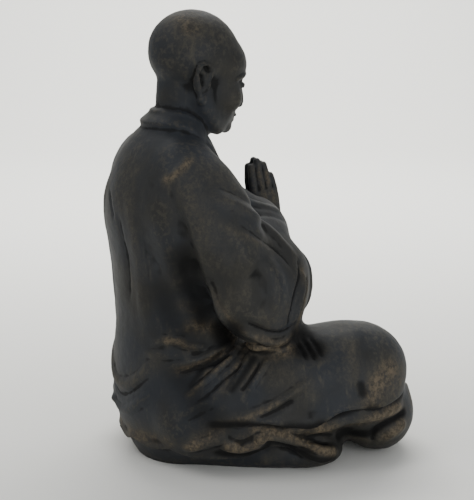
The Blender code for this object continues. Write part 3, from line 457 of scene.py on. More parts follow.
# Fine lines of the face, in the head's own frame
FACE_LINES = (
    ("ridge", -0.022, 0.045, ((-0.070, -0.36, 0.500), (-0.120, -0.36, 0.512), (-0.175, -0.33, 0.500))),
    ("ridge", -0.012, 0.014, ((-0.070, -0.36, 0.432), (-0.120, -0.37, 0.422), (-0.172, -0.33, 0.432))),
    ("ridge", -0.010, 0.022, ((-0.062, -0.38, 0.290), (-0.090, -0.36, 0.235), (-0.110, -0.34, 0.190))),
)
MOUTH_LINE = ("ridge", -0.014, 0.012, ((-0.095, -0.34, 0.184), (-0.040, -0.40, 0.178),
    (0.000, -0.41, 0.180), (0.040, -0.40, 0.178), (0.095, -0.34, 0.184)))
PHILTRUM = ("ridge", -0.008, 0.014, ((0.0, -0.41, 0.255), (0.0, -0.40, 0.225)))
EAR_LINE = ("ridge", -0.026, 0.024, ((-0.33, 0.050, 0.505), (-0.34, 0.090, 0.516),
    (-0.34, 0.110, 0.470), (-0.32, 0.085, 0.400), (-0.31, 0.055, 0.372)))

# Hollows and proud places are found at two scales, each as (name, rounds of averaging, depth in metres
# at which they are marked in full), and are then spread a little
RELIEF_SCALES = (("fine", 6, 0.0006 * UNIT), ("broad", 60, 0.0045 * UNIT))
SPREAD_ROUNDS = 2

# Which way a limb's half widths lie
SIDEWAYS = (1, 0, 0)
FORWARD = (0, 1, 0)
UPRIGHT = (0, 0, 1)
SLANTING = (0, 1, 1)

# Paint worked into the folds, as (strength, half width, places), drawn on the skin as the folds are.
# It spreads this much wider than its line is drawn, fading to nothing.
PAINT_REACH = 1.7
SIDE_PAINT = (
    # The folded hem over the seat, its tongue first
    (1.0, 0.030, ((-0.040, 0.072), (-0.070, 0.082), (-0.098, 0.100))),
    (1.0, 0.018, ((-0.080, 0.117), (-0.135, 0.109), (-0.190, 0.082), (-0.225, 0.057), (-0.266, 0.044))),
    (0.9, 0.022, ((0.040, 0.070), (0.020, 0.095), (-0.012, 0.120))),
    # A painted highlight: a faint brown streak across the pad, standing in for the sheen on it
    (0.4, 0.014, ((-0.130, 0.029), (-0.164, 0.056))),
    # The roll under the thigh, and the foot's lobe
    (1.0, 0.030, ((-0.205, 0.106), (-0.270, 0.094), (-0.328, 0.102), (-0.370, 0.110), (-0.428, 0.124))),
    (0.9, 0.024, ((-0.396, 0.060), (-0.434, 0.085))),
    (0.6, 0.014, ((-0.330, 0.050), (-0.372, 0.046))),
    # The knee and the thigh
    (0.9, 0.040, ((-0.335, 0.168), (-0.355, 0.200), (-0.385, 0.222))),
    (0.6, 0.036, ((-0.390, 0.175), (-0.420, 0.200))),
    (0.5, 0.024, ((-0.300, 0.280), (-0.300, 0.210))),
    (0.45, 0.020, ((-0.215, 0.265), (-0.245, 0.275))),
    (0.7, 0.014, ((-0.015, 0.134), (-0.050, 0.146), (-0.094, 0.166), (-0.120, 0.177))),
    (0.45, 0.030, ((-0.120, 0.245), (-0.160, 0.225), (-0.190, 0.190))),
    # The cloth drawn together under the sleeve
    (1.0, 0.028, ((-0.054, 0.312), (-0.085, 0.292), (-0.121, 0.280), (-0.170, 0.280))),
    (0.9, 0.013, ((-0.079, 0.274), (-0.028, 0.261), (0.011, 0.247), (0.048, 0.234))),
    (0.7, 0.010, ((-0.057, 0.261), (0.000, 0.226), (0.036, 0.190))),
    (0.7, 0.010, ((-0.097, 0.275), (-0.044, 0.226), (-0.025, 0.203))),
    (0.6, 0.011, ((-0.100, 0.250), (-0.060, 0.210))),
    # The sleeve: its rims, the forearm in it and the upper arm
    (0.7, 0.013, ((-0.012, 0.415), (-0.018, 0.390), (-0.035, 0.359), (-0.060, 0.330))),
    (0.7, 0.014, ((-0.085, 0.318), (-0.152, 0.299), (-0.200, 0.310))),
    (0.7, 0.015, ((-0.215, 0.440), (-0.225, 0.400), (-0.210, 0.350), (-0.195, 0.320))),
    (0.5, 0.018, ((-0.023, 0.555), (-0.075, 0.530), (-0.127, 0.504))),
    (0.35, 0.026, ((-0.036, 0.484), (-0.051, 0.445), (-0.045, 0.410))),
    (0.35, 0.030, ((-0.111, 0.350), (-0.150, 0.365))),
    (0.45, 0.050, ((0.040, 0.618), (0.028, 0.570), (0.015, 0.529))),
    (0.35, 0.046, ((-0.002, 0.650), (-0.057, 0.605))),
)
RIGHT_PAINT = (
    # Two brown crumples beside the waist, and the streak over the shoulder
    (1.0, 0.022, ((0.018, 0.330), (-0.020, 0.325))),
    (0.7, 0.016, ((0.035, 0.375), (0.010, 0.365))),
    (0.9, 0.016, ((0.066, 0.298), (0.045, 0.296), (0.022, 0.284))),
    (0.8, 0.014, ((0.070, 0.645), (0.045, 0.665), (0.022, 0.684))),
)
BACK_PAINT = (
    (0.35, 0.050, ((-0.060, 0.640), (-0.080, 0.520), (-0.080, 0.400))),
    (0.35, 0.040, ((0.110, 0.640), (0.118, 0.560))),
    (0.25, 0.050, ((0.070, 0.600), (0.060, 0.480))),
    (0.8, 0.026, ((-0.150, 0.075), (0.000, 0.065), (0.150, 0.075))),
    (0.5, 0.024, ((-0.120, 0.250), (-0.050, 0.190), (0.020, 0.180), (0.120, 0.256))),
)
FRONT_PAINT = (
    (0.9, 0.030, ((-0.220, 0.125), (-0.100, 0.108), (0.000, 0.105), (0.100, 0.110), (0.220, 0.130))),
    (0.7, 0.022, ((-0.125, 0.262), (-0.060, 0.222), (0.010, 0.210), (0.075, 0.225), (0.120, 0.255))),
    (0.6, 0.022, ((-0.140, 0.222), (-0.070, 0.185), (0.010, 0.172), (0.085, 0.188), (0.135, 0.220))),
    (0.5, 0.020, ((-0.060, 0.690), (0.000, 0.600))),
    (0.5, 0.020, ((0.060, 0.690), (-0.030, 0.540), (-0.060, 0.440))),
    (0.8, 0.024, ((-0.200, 0.046), (-0.070, 0.046), (0.060, 0.046), (0.200, 0.048))),
)
SLEEVE_PAINT = (0.6, 0.018, ((-0.140, 0.450), (-0.150, 0.340)))

# Paint on the head and the hands, in shares of the head's height and of a hand's length
HEAD_PAINT = (
    (0.7, 0.150, ((-0.130, 0.310, 0.930), (-0.230, 0.250, 0.820))),
    (0.4, 0.080, ((-0.260, -0.130, 0.560), (-0.240, -0.200, 0.400), (-0.200, -0.240, 0.280))),
    (0.4, 0.130, ((0.150, 0.300, 0.900), (0.250, 0.200, 0.800))),
    (0.35, 0.080, ((0.240, -0.120, 0.500), (0.220, -0.180, 0.300))),
)
HAND_PAINT = (
    (0.6, 0.090, ((-0.13, 0.10, 0.85), (-0.14, 0.05, 0.50), (-0.14, 0.05, 0.20))),
    (0.7, 0.070, ((-0.13, -0.03, 0.80), (-0.14, -0.05, 0.45))),
)

# Painted shade: black laid in the shadowed folds, along the hem's undersides and in the hollow beside the
# sleeve, drawn in the same way
SIDE_PAINTED_SHADE = (
    (1.0, 0.026, ((-0.200, 0.276), (-0.228, 0.276))),
    (0.8, 0.024, ((-0.190, 0.300), (-0.215, 0.300))),
    (0.9, 0.030, ((-0.043, 0.335), (-0.060, 0.290))),
    (0.7, 0.040, ((0.045, 0.480), (0.015, 0.410), (-0.005, 0.350))),
    (0.5, 0.050, ((0.070, 0.400), (0.050, 0.340), (0.020, 0.310))),
    (1.0, 0.012, ((0.000, 0.132), (-0.080, 0.134), (-0.143, 0.124), (-0.200, 0.116), (-0.240, 0.130),
        (-0.314, 0.146), (-0.360, 0.142), (-0.400, 0.148), (-0.440, 0.152))),
    (1.0, 0.012, ((-0.300, 0.060), (-0.360, 0.066), (-0.376, 0.080), (-0.400, 0.098), (-0.440, 0.106))),
    (0.9, 0.010, ((-0.022, 0.058), (-0.048, 0.052), (-0.078, 0.052), (-0.105, 0.066), (-0.122, 0.082))),
    (0.8, 0.010, ((-0.122, 0.084), (-0.152, 0.076), (-0.190, 0.054), (-0.225, 0.034), (-0.270, 0.026))),
    (0.7, 0.010, ((-0.045, 0.270), (0.000, 0.236), (0.030, 0.205))),
    (0.7, 0.010, ((-0.100, 0.262), (-0.066, 0.232), (-0.040, 0.206))),
    (0.5, 0.040, ((0.040, 0.220), (0.020, 0.170), (0.000, 0.140))),
)

# Textures of the paint, each as (scale, detail, roughness); streaks are drawn out upright
CLOUD = (38, 3, 0.55)
BLOTCH = (150, 6, 0.65)
SPECK = (700, 4, 0.65)
DOT = (1500, 2, 0.60)
STREAK = (480, 4, 0.60)
STREAK_STRETCH = (1.0, 1.0, 0.25)
PITTING = (260, 3, 0.50)

# Between which two values of a texture or an attribute each look comes in
SHADE_FADE = (0.38, 0.62)
STREAK_FADE = (0.52, 0.74)
BLOTCH_FADE = (0.42, 0.66)
PROUD_FADE = (0.25, 0.95)
WORN_FADE = (0.45, 0.62)
GRAIN_FADE = (0.42, 0.58)
DOT_FADE = (0.36, 0.56)
PATINA_FADE = (0.38, 0.60)
STRENGTH_FADE = (0.35, 0.85)
HOLLOW_FADE = (0.25, 0.90)
BLACK_FADE = (0.0, 0.9)

# How far relief steers the rubbed brown, what its grain and dots leave of it at least, and how dark
# the painted shade in the hollows and along the black lines gets
RELIEF_PULL = 0.06
GRAIN_LEAST = 0.4
DOT_LEAST = 0.55
BROAD_HOLLOW = 0.6
HOLLOW_DARKNESS = 0.8
BLACK_DARKNESS = 0.95

# What brown, the painted shade and specks add to the roughness, and the paint's reflection
BROWN_DULLING = 0.15
BLACK_DULLING = 0.2
SPECK_DULLING = 0.12
REFRACTION = 1.5
REFLECTION = 0.22

# The fine tooth of the paint: its height in metres and what pits and brown add to it
TOOTH = 0.0004
TOOTH_STRENGTH = 0.5
PITTING_SHARE = 0.5
BARE_PITS = 0.35
BROWN_PITS = 0.8

# The stage: what the camera looks at and the nearest it sees, and the backdrop's sweep
LOOKED_AT = (0.0, 0.0330, 0.447)
NEAREST_SEEN = 0.01
SWEEP_SHARE = 0.3
SWEEP_ROWS = 17
FLOOR_ROUGHNESS = 0.9
ROOM_COLOR = (0.96, 0.98, 1.0)

# Lights as (name, place, aimed at, width, colour), all in shares of UNIT. Places are counted across
# the camera's view to the right, away from it and up.
FIGURE_MIDDLE = (0.0, 0.0, 0.5 * CROWN_PLACE)
LIGHTS = (
    ("key", (-2.6, -1.2, 3.6), FIGURE_MIDDLE, 2.2, (1.0, 0.99, 0.97)),
    ("fill", (1.8, -3.2, 0.9), FIGURE_MIDDLE, 2.4, (0.97, 0.985, 1.0)),
    ("backdrop", (0.0, 3.0, 4.5), (0.0, 6.0, 0.6), 4.0, (1.0, 1.0, 0.98)),
)


def smooth_rows(rows, count=CURVE_ROWS):
    """Rows read off a Catmull-Rom curve through the stations, evenly spaced along it."""
    rows = np.array(rows, float)
    padded = np.vstack([2 * rows[0] - rows[1], rows, 2 * rows[-1] - rows[-2]])
    place = np.linspace(0, len(rows) - 1, count)
    i = np.minimum(place.astype(int), len(rows) - 2)
    t = (place - i)[:, None]
    a, b, c, d = padded[i], padded[i + 1], padded[i + 2], padded[i + 3]
    bend = (2 * a - 5 * b + 4 * c - d) * t**2
    twist = (3 * b - a - 3 * c + d) * t**3
    curve = 0.5 * (2 * b + (c - a) * t + bend + twist)
    run = np.concatenate([[0], np.cumsum(np.linalg.norm(np.diff(curve[:, :3], axis=0), axis=1))])
    even = np.linspace(0, run[-1], count)
    return np.stack([np.interp(even, run, column) for column in curve.T], axis=1), run[-1]


def limb(bm, stations, side=SIDEWAYS, scale=UNIT, place=None):
    """A sphere drawn out along the stations, its rings set to their half widths and depths.

    The half widths lie along side, and the half depths square to it.
    """
    made = bmesh.ops.create_uvsphere(bm, u_segments=AROUND, v_segments=ALONG, radius=1)["verts"]
    ball = np.array([v.co for v in made])
    rows, length = smooth_rows(np.array(stations) * scale)
    share = (1 - ball[:, 2]) / 2
    shares = np.linspace(0, 1, len(rows))
    station = np.stack([np.interp(share, shares, column) for column in rows.T], axis=1)
    tangents = np.gradient(rows[:, :3], axis=0)
    tangent = np.stack([np.interp(share, shares, column) for column in tangents.T], axis=1)
    tangent /= np.linalg.norm(tangent, axis=1)[:, None]
    across = np.array(side, float) - (tangent @ np.array(side, float))[:, None] * tangent
    across /= np.linalg.norm(across, axis=1)[:, None]
    through = np.cross(tangent, across)
    from_end = np.minimum(share, 1 - share) * length
    cap = np.clip(1 - from_end / np.minimum(station[:, 3], station[:, 4]), 0, 1)
    swell = np.sqrt(1 - cap**2)
    ring = np.hypot(ball[:, 0], ball[:, 1])
    turn = np.where(ring > POLE, ring, 1.0)
    offset = (ball[:, 0] / turn * station[:, 3] * swell)[:, None] * across
    offset += (ball[:, 1] / turn * station[:, 4] * swell)[:, None] * through
    for vert, spot in zip(made, station[:, :3] + offset):
        vert.co = place @ Vector(spot) if place else Vector(spot)


def mirrored(stations):
    """The same stations or places on the figure's other side."""
    return tuple((-row[0],) + tuple(row[1:]) for row in stations)


def fused(blocks, voxel, smoothing, skin=None):
    """New forms and the skin so far fused into one skin of even faces, then rubbed smooth."""
    bm = bmesh.new()
    for block in blocks:
        block(bm)
    if skin:
        bm.from_mesh(skin)
        bpy.data.meshes.remove(skin)
    bmesh.ops.recalc_face_normals(bm, faces=bm.faces)
    mesh = bpy.data.meshes.new("forms")
    bm.to_mesh(mesh)
    bm.free()
    shape = bpy.data.objects.new("forms", mesh)
    bpy.context.scene.collection.objects.link(shape)
    fuse = shape.modifiers.new("fuse", "REMESH")
    fuse.mode = "VOXEL"
    fuse.voxel_size = voxel
    rub = shape.modifiers.new("rub", "SMOOTH")
    rub.factor = RUB
    rub.iterations = smoothing
    graph = bpy.context.evaluated_depsgraph_get()
    skin = bpy.data.meshes.new_from_object(shape.evaluated_get(graph))
    bpy.data.objects.remove(shape)
    bpy.data.meshes.remove(mesh)
    return skin


def ball(bm, form, scale=UNIT, place=None):
    """A sphere stretched to its three radii."""
    centre, radii = form
    made = bmesh.ops.create_icosphere(bm, subdivisions=BALL_FINENESS, radius=1)["verts"]
    for vert in made:
        spot = Vector(scale * (c + r * x) for c, r, x in zip(centre, radii, vert.co))
        vert.co = place @ spot if place else spot


def ridge_height(share):
    """A rounded fold: highest on its line, level with the cloth at its edges."""
    return np.clip(1 - share**2, 0, 1) ** 2


def band_height(share):
    """A flat strip of cloth with rounded borders."""
    border = np.clip((1 - np.abs(share)) / BAND_BORDER, 0, 1)
    return border * border * (3 - 2 * border)


def crease_height(share):
    """A sharp fold, deepest or highest on its very line."""
    return np.clip(1 - np.abs(share), 0, 1) ** 2


def step_height(share):
    """A hem: it drops off at once below its line and thins out slowly above it."""
    above = np.clip(1 - share, 0, 1) ** 2
    below = np.clip(1 + share / STEP_DROP, 0, 1)
    return np.where(share > 0, above, below)


KINDS = {"ridge": ridge_height, "band": band_height, "crease": crease_height, "step": step_height}
VIEWS = {"right": (0, 1), "left": (0, -1), "front": (1, 1), "back": (1, -1)}


def spots_and_facing(skin):
    """Where the skin's vertices are, and their normals."""
    count = len(skin.vertices)
    spots = np.empty(count * 3)
    skin.vertices.foreach_get("co", spots)
    facing = np.empty(count * 3)
    skin.vertices.foreach_get("normal", facing)
    return spots.reshape(-1, 3), facing.reshape(-1, 3)


def search_tree(skin, spots):
    """For finding the skin's surface at the spots given."""
    return BVHTree.FromPolygons(spots.tolist(), [tuple(face.vertices) for face in skin.polygons])


def drawn_line(tree, view, places, scale, place):
    """The spots and normals of the skin under a line drawn on it."""
    flat = np.array([tuple(row) + (0.0,) * (3 - len(row)) for row in places])
    rows, _ = smooth_rows(flat, LINE_SPOTS)
    hits = []
    for row in rows:
        if view == "near":
            spot = Vector(row * scale)
            hit = tree.find_nearest(place @ spot if place else spot)
        else:
            axis, toward = VIEWS[view]
            start = np.insert(row[:2] * scale, axis, -toward * scale)
            way = [0.0, 0.0, 0.0]
            way[axis] = toward
            hit = tree.ray_cast(Vector(start), Vector(way))
        if hit[0] is None:
            raise ValueError(f"a line drawn from the {view} leaves the figure at {tuple(row.round(3))}")
        if not hits or (hit[0] - hits[-1][0]).length > SAME_SPOT:
            hits.append(hit)
    return np.array([h[0] for h in hits]), np.array([h[1] for h in hits])


def beside_line(spots, line, reach):
    """Which spots lie about a line, its runs, and each spot's place along every run and gap from it."""
    near = np.all((spots > line.min(0) - reach) & (spots < line.max(0) + reach), axis=1).nonzero()[0]
    start, run = line[:-1], np.diff(line, axis=0)
    to_spot = spots[near][:, None] - start
    along = np.clip((to_spot * run).sum(2) / (run**2).sum(1), 0, 1)
    return near, run, along, to_spot - along[..., None] * run


def carve(skin, lines, scale=UNIT, place=None):
    """Raise and sink the skin along each line: folds, creases, bands and hems."""
    spots, facing = spots_and_facing(skin)
    tree = search_tree(skin, spots)
    moved = spots.copy()
    for kind, view, height, half_width, places in lines:
        line, normals = drawn_line(tree, view, places, scale, place)
        reach = half_width * scale
        near, run, along, gap = beside_line(spots, line, reach)
        distance = np.linalg.norm(gap, axis=2)
        nearest = distance.argmin(1)
        pick = np.arange(len(near)), nearest
        share = distance[pick] / reach
        if kind == "step":
            uphill = np.cross(normals[nearest], run[nearest])
            share *= np.sign((gap[pick] * uphill).sum(1))
        place_along = (nearest + along[pick]) / len(run)
        taper = np.clip(np.minimum(place_along, 1 - place_along) / TAPER, 0, 1)
        taper = taper * (2 - taper)
        same_side = np.clip((facing[near] * normals[nearest]).sum(1) * TURNED_FADE, 0, 1)
        lift = height * scale * KINDS[kind](share) * taper * same_side
        moved[near] += lift[:, None] * facing[near]
    skin.vertices.foreach_set("co", moved.ravel())
    skin.update()


def head_frame():
    """From the head's own frame to the figurine's: bowed about the pivot at its middle."""
    turn = Matrix.Rotation(math.radians(HEAD_BOW), 4, "X")
    spot = Matrix.Translation(UNIT * Vector(HEAD_PLACE))
    return spot @ turn @ Matrix.Translation(-HEAD_HEIGHT * Vector(HEAD_PIVOT))


def hand_frame():
    """From a hand's own frame to the figurine's: the fingers lean back towards the chin."""
    turn = Matrix.Rotation(math.radians(-HAND_LEAN), 4, "X")
    return Matrix.Translation(UNIT * Vector(WRIST_PLACE)) @ turn


def mirrored_ball(form):
    """The same ball on the figure's other side."""
    centre, radii = form
    return (-centre[0], centre[1], centre[2]), radii


def block_robe(bm):
    """The robed body without its head: trunk, arms in their sleeves, crossed legs and seat."""
    for stations in (TORSO, CHEST, LAP, SEAT, THIGH, LEFT_THIGH):
        limb(bm, stations)
    for stations in (KNEE_CLOTH, LEFT_KNEE_CLOTH):
        limb(bm, stations, UPRIGHT)
    for turned in (tuple, mirrored):
        for stations in (SHOULDER, UPPER_ARM, BACK_CLOTH, ARM_CLOTH, ARMPIT_CLOTH, SLEEVE_LINING):
            limb(bm, turned(stations))
        limb(bm, turned(SLEEVE), UPRIGHT)
        limb(bm, turned(FOREARM), SLANTING)
        limb(bm, turned(SHIN), FORWARD)


def block_head(bm):
    """The neck and the head without its features."""
    place = head_frame()
    limb(bm, NECK)
    for form in (SKULL, CROWN, FOREHEAD, CHIN, MUZZLE):
        ball(bm, form, HEAD_HEIGHT, place)
    limb(bm, FACE, scale=HEAD_HEIGHT, place=place)
    for turned in (tuple, mirrored):
        limb(bm, turned(JAW), scale=HEAD_HEIGHT, place=place)
    for turned in (tuple, mirrored_ball):
        ball(bm, turned(CHEEK), HEAD_HEIGHT, place)


def add_face(bm):
    """The nose, lips, brows, eyes and ears."""
    place = head_frame()
    limb(bm, NOSE, scale=HEAD_HEIGHT, place=place)
    for stations in (UPPER_LIP, LOWER_LIP):
        limb(bm, stations, UPRIGHT, HEAD_HEIGHT, place)
    for turned in (tuple, mirrored):
        limb(bm, turned(BROW), UPRIGHT, HEAD_HEIGHT, place)
        limb(bm, turned(EAR_RIM), scale=HEAD_HEIGHT, place=place)
    for turned in (tuple, mirrored_ball):
        for form in (EYEBALL, NOSE_WING, EAR_PLATE, EAR_LOBE, TRAGUS):
            ball(bm, turned(form), HEAD_HEIGHT, place)


def add_hands(bm):
    """Both hands, palm to palm."""
    place = hand_frame()
    for turned in (tuple, mirrored):
        for stations in (WRIST, PALM, THUMB, INDEX, MIDDLE, RING, LITTLE):
            limb(bm, turned(stations), scale=HAND_LENGTH, place=place)


def seen_from(view, lines):
    """The same lines, each told which side it is drawn from."""
    return [(kind, view, height, width, places) for kind, height, width, places in lines]


def other_side(lines):
    """The same lines with left and right exchanged, for places whose first number is x."""
    return [(*line, mirrored(places)) for *line, places in lines]


def carve_robe(skin):
    """The collar and the lapels first, then every fold over them."""
    carve(skin, seen_from("near", (COLLAR,)) + seen_from("front", LAPELS))
    lines = seen_from("right", SIDE_FOLDS + RIGHT_FOLDS) + seen_from("left", SIDE_FOLDS)
    lines += seen_from("back", BACK_FOLDS) + seen_from("front", FRONT_FOLDS)
    lines += seen_from("front", SLEEVE_FOLDS) + seen_from("front", other_side(SLEEVE_FOLDS))
    lines += seen_from("near", (SLEEVE_RIM,)) + seen_from("near", other_side((SLEEVE_RIM,)))
    carve(skin, lines)


def carve_face(skin):
    """The eyelids, cheek folds, ears and mouth."""
    sides = FACE_LINES + (EAR_LINE,)
    lines = seen_from("near", sides) + seen_from("near", other_side(sides))
    lines += seen_from("near", (MOUTH_LINE, PHILTRUM))
    carve(skin, lines, HEAD_HEIGHT, head_frame())


def roughened(skin, depth):
    """The slight unevenness of a hand-made casting, in two sizes of grain."""
    spots, facing = spots_and_facing(skin)
    broad, fine = [np.array([noise.noise(Vector(spot)) for spot in spots / size])
                   for size in (BROAD_GRAIN, FINE_GRAIN)]
    spots += ((BROAD_SHARE * broad + FINE_SHARE * fine) * depth)[:, None] * facing
    skin.vertices.foreach_set("co", spots.ravel())
    skin.update()


def thinned(skin):
    """The same skin with fewer faces, most of them where it bends most."""
    shape = bpy.data.objects.new("fine", skin)
    bpy.context.scene.collection.objects.link(shape)
    thin = shape.modifiers.new("thin", "DECIMATE")
    thin.ratio = min(1.0, TRIANGLES / (2 * len(skin.polygons)))
    graph = bpy.context.evaluated_depsgraph_get()
    coarse = bpy.data.meshes.new_from_object(shape.evaluated_get(graph))
    bpy.data.objects.remove(shape)
    bpy.data.meshes.remove(skin)
    return coarse


def cut_flat(skin):
    """The underside sawn off flat on the ground, and the figure set over the solid's middle.

    Returns how far the figure was moved.
    """
    bm = bmesh.new()
    bm.from_mesh(skin)
    everything = bm.verts[:] + bm.edges[:] + bm.faces[:]
    bmesh.ops.bisect_plane(bm, geom=everything, dist=CUT_MERGE, plane_co=(0, 0, 0), plane_no=(0, 0, -1),
                           clear_outer=True)
    for vert in bm.verts:
        if abs(vert.co.z) < CUT_MERGE:
            vert.co.z = 0
    bmesh.ops.holes_fill(bm, edges=[edge for edge in bm.edges if edge.is_boundary])
    bmesh.ops.triangulate(bm, faces=[face for face in bm.faces if len(face.verts) > 4])
    spots = np.array([vert.co for vert in bm.verts])
    middle = (spots.min(0) + spots.max(0)) / 2
    wanted = (np.array(BOX_LOW) + np.array(BOX_HIGH)) / 2
    shift = Vector((wanted[0] - middle[0], wanted[1] - middle[1], BOX_LOW[2]))
    bmesh.ops.translate(bm, verts=bm.verts, vec=shift)
    for face in bm.faces:
        face.smooth = abs(face.normal.z) < FLAT or face.calc_center_median().z > BOX_LOW[2] + CUT_MERGE
    bm.to_mesh(skin)
    bm.free()
    return shift


def averaged(values, links, rounds):
    """Values mixed with their neighbours' a number of times."""
    count = len(values)
    first, second = links.T
    shared = np.bincount(links.ravel(), minlength=count).astype(float)
    for _ in range(rounds):
        columns = [np.bincount(first, column[second], count) + np.bincount(second, column[first], count)
                   for column in values.T]
        total = np.stack(columns, axis=1)
        values = 0.5 * values + 0.5 * total / np.maximum(shared, 1)[:, None]
    return values


def add_mark(skin, name, amounts):
    """A number at each vertex, which the paint reads by its name."""
    mark = skin.attributes.new(name, "FLOAT", "POINT")
    mark.data.foreach_set("value", amounts.astype(np.float32))


def mark_hollows(skin):
    """Marks that the paint and the painted shade follow: hollow, in creases, and proud, on ridges."""
    spots, facing = spots_and_facing(skin)
    links = np.empty(len(skin.edges) * 2, int)
    skin.edges.foreach_get("vertices", links)
    links = links.reshape(-1, 2)
    for name, rounds, depth in RELIEF_SCALES:
        sunk = ((averaged(spots, links, rounds) - spots) * facing).sum(1) / depth
        sunk = averaged(sunk[:, None], links, SPREAD_ROUNDS)[:, 0]
        add_mark(skin, name + "_hollow", np.clip(sunk, 0, 1))
        add_mark(skin, name + "_proud", np.clip(-sunk, 0, 1))


def laid_on(spots, tree, lines):
    """How much paint each spot gets from the lines: the most that any one of them lays there."""
    amount = np.zeros(len(spots))
    for view, (strength, half_width, places), scale, place in lines:
        line, _ = drawn_line(tree, view, places, scale, place)
        reach = half_width * PAINT_REACH * scale
        near, _, _, gap = beside_line(spots, line, reach)
        fade = np.clip(1 - np.linalg.norm(gap, axis=2).min(1) / reach, 0, 1)
        amount[near] = np.maximum(amount[near], strength * fade * fade * (3 - 2 * fade))
    return amount


def mark_paint(skin, shift):
    """How much brown the folds hold, and how much painted shade in black lies along the shadowed folds,
    drawn on the figure as it stood before its shift.
    """
    spots = spots_and_facing(skin)[0] - np.array(shift)
    tree = search_tree(skin, spots)
    front = (*FRONT_PAINT, SLEEVE_PAINT, *other_side((SLEEVE_PAINT,)))
    views = (("right", SIDE_PAINT + RIGHT_PAINT), ("left", SIDE_PAINT), ("back", BACK_PAINT),
             ("front", front))
    brown = [(view, line, UNIT, None) for view, lines in views for line in lines]
    brown += [("near", line, HEAD_HEIGHT, head_frame()) for line in HEAD_PAINT]
    brown += [("near", line, HAND_LENGTH, hand_frame()) for line in (*HAND_PAINT, *other_side(HAND_PAINT))]
    # The black lines are painted shade in the shadowed folds
    black = [(view, line, UNIT, None) for view in ("right", "left") for line in SIDE_PAINTED_SHADE]
    add_mark(skin, "paint", laid_on(spots, tree, brown))
    add_mark(skin, "black", laid_on(spots, tree, black))


class Nodes:
    """Short calls that add and link the nodes of one material."""

    def __init__(self, material):
        material.use_nodes = True
        self.tree = material.node_tree
        self.surface = self.tree.nodes["Principled BSDF"]

    def add(self, kind, **settings):
        node = self.tree.nodes.new(kind)
        for name, value in settings.items():
            setattr(node, name, value)
        return node

    def link(self, source, target):
        self.tree.links.new(source, target)

    def feed(self, socket, value):
        if isinstance(value, bpy.types.NodeSocket):
            self.link(value, socket)
        else:
            socket.default_value = value

    def math(self, operation, first, second=0.0, third=0.0):
        node = self.add("ShaderNodeMath", operation=operation)
        for socket, value in zip(node.inputs, (first, second, third)):
            self.feed(socket, value)
        return node.outputs[0]

    def times(self, *factors):
        product = factors[0]
        for factor in factors[1:]:
            product = self.math("MULTIPLY", product, factor)
        return product

    def at_least(self, least, share):
        """The share squeezed into the range from least to 1."""
        return self.math("MULTIPLY_ADD", share, 1 - least, least)

    def mark(self, name):
        return self.add("ShaderNodeAttribute", attribute_name=name).outputs["Fac"]

    def texture(self, place, look):
        node = self.add("ShaderNodeTexNoise")
        self.link(place, node.inputs["Vector"])
        for name, value in zip(("Scale", "Detail", "Roughness"), look):
            node.inputs[name].default_value = value
        return node.outputs["Fac"]

    def fade(self, value, ends):
        """0 below the first of the ends, 1 above the second, and a soft step between."""
        node = self.add("ShaderNodeMapRange", interpolation_type="SMOOTHSTEP")
        for socket, setting in zip(node.inputs, (value, *ends, 0.0, 1.0)):
            self.feed(socket, setting)
        return node.outputs[0]

    def mix(self, share, first, second):
        """The first colour, with the share given of the second over it."""
        node = self.add("ShaderNodeMix", data_type="RGBA")
        self.feed(node.inputs["Factor"], share)
        for name, color in (("A", first), ("B", second)):
            self.feed(node.inputs[name], color if isinstance(color, bpy.types.NodeSocket) else (*color, 1))
        return node.outputs["Result"]


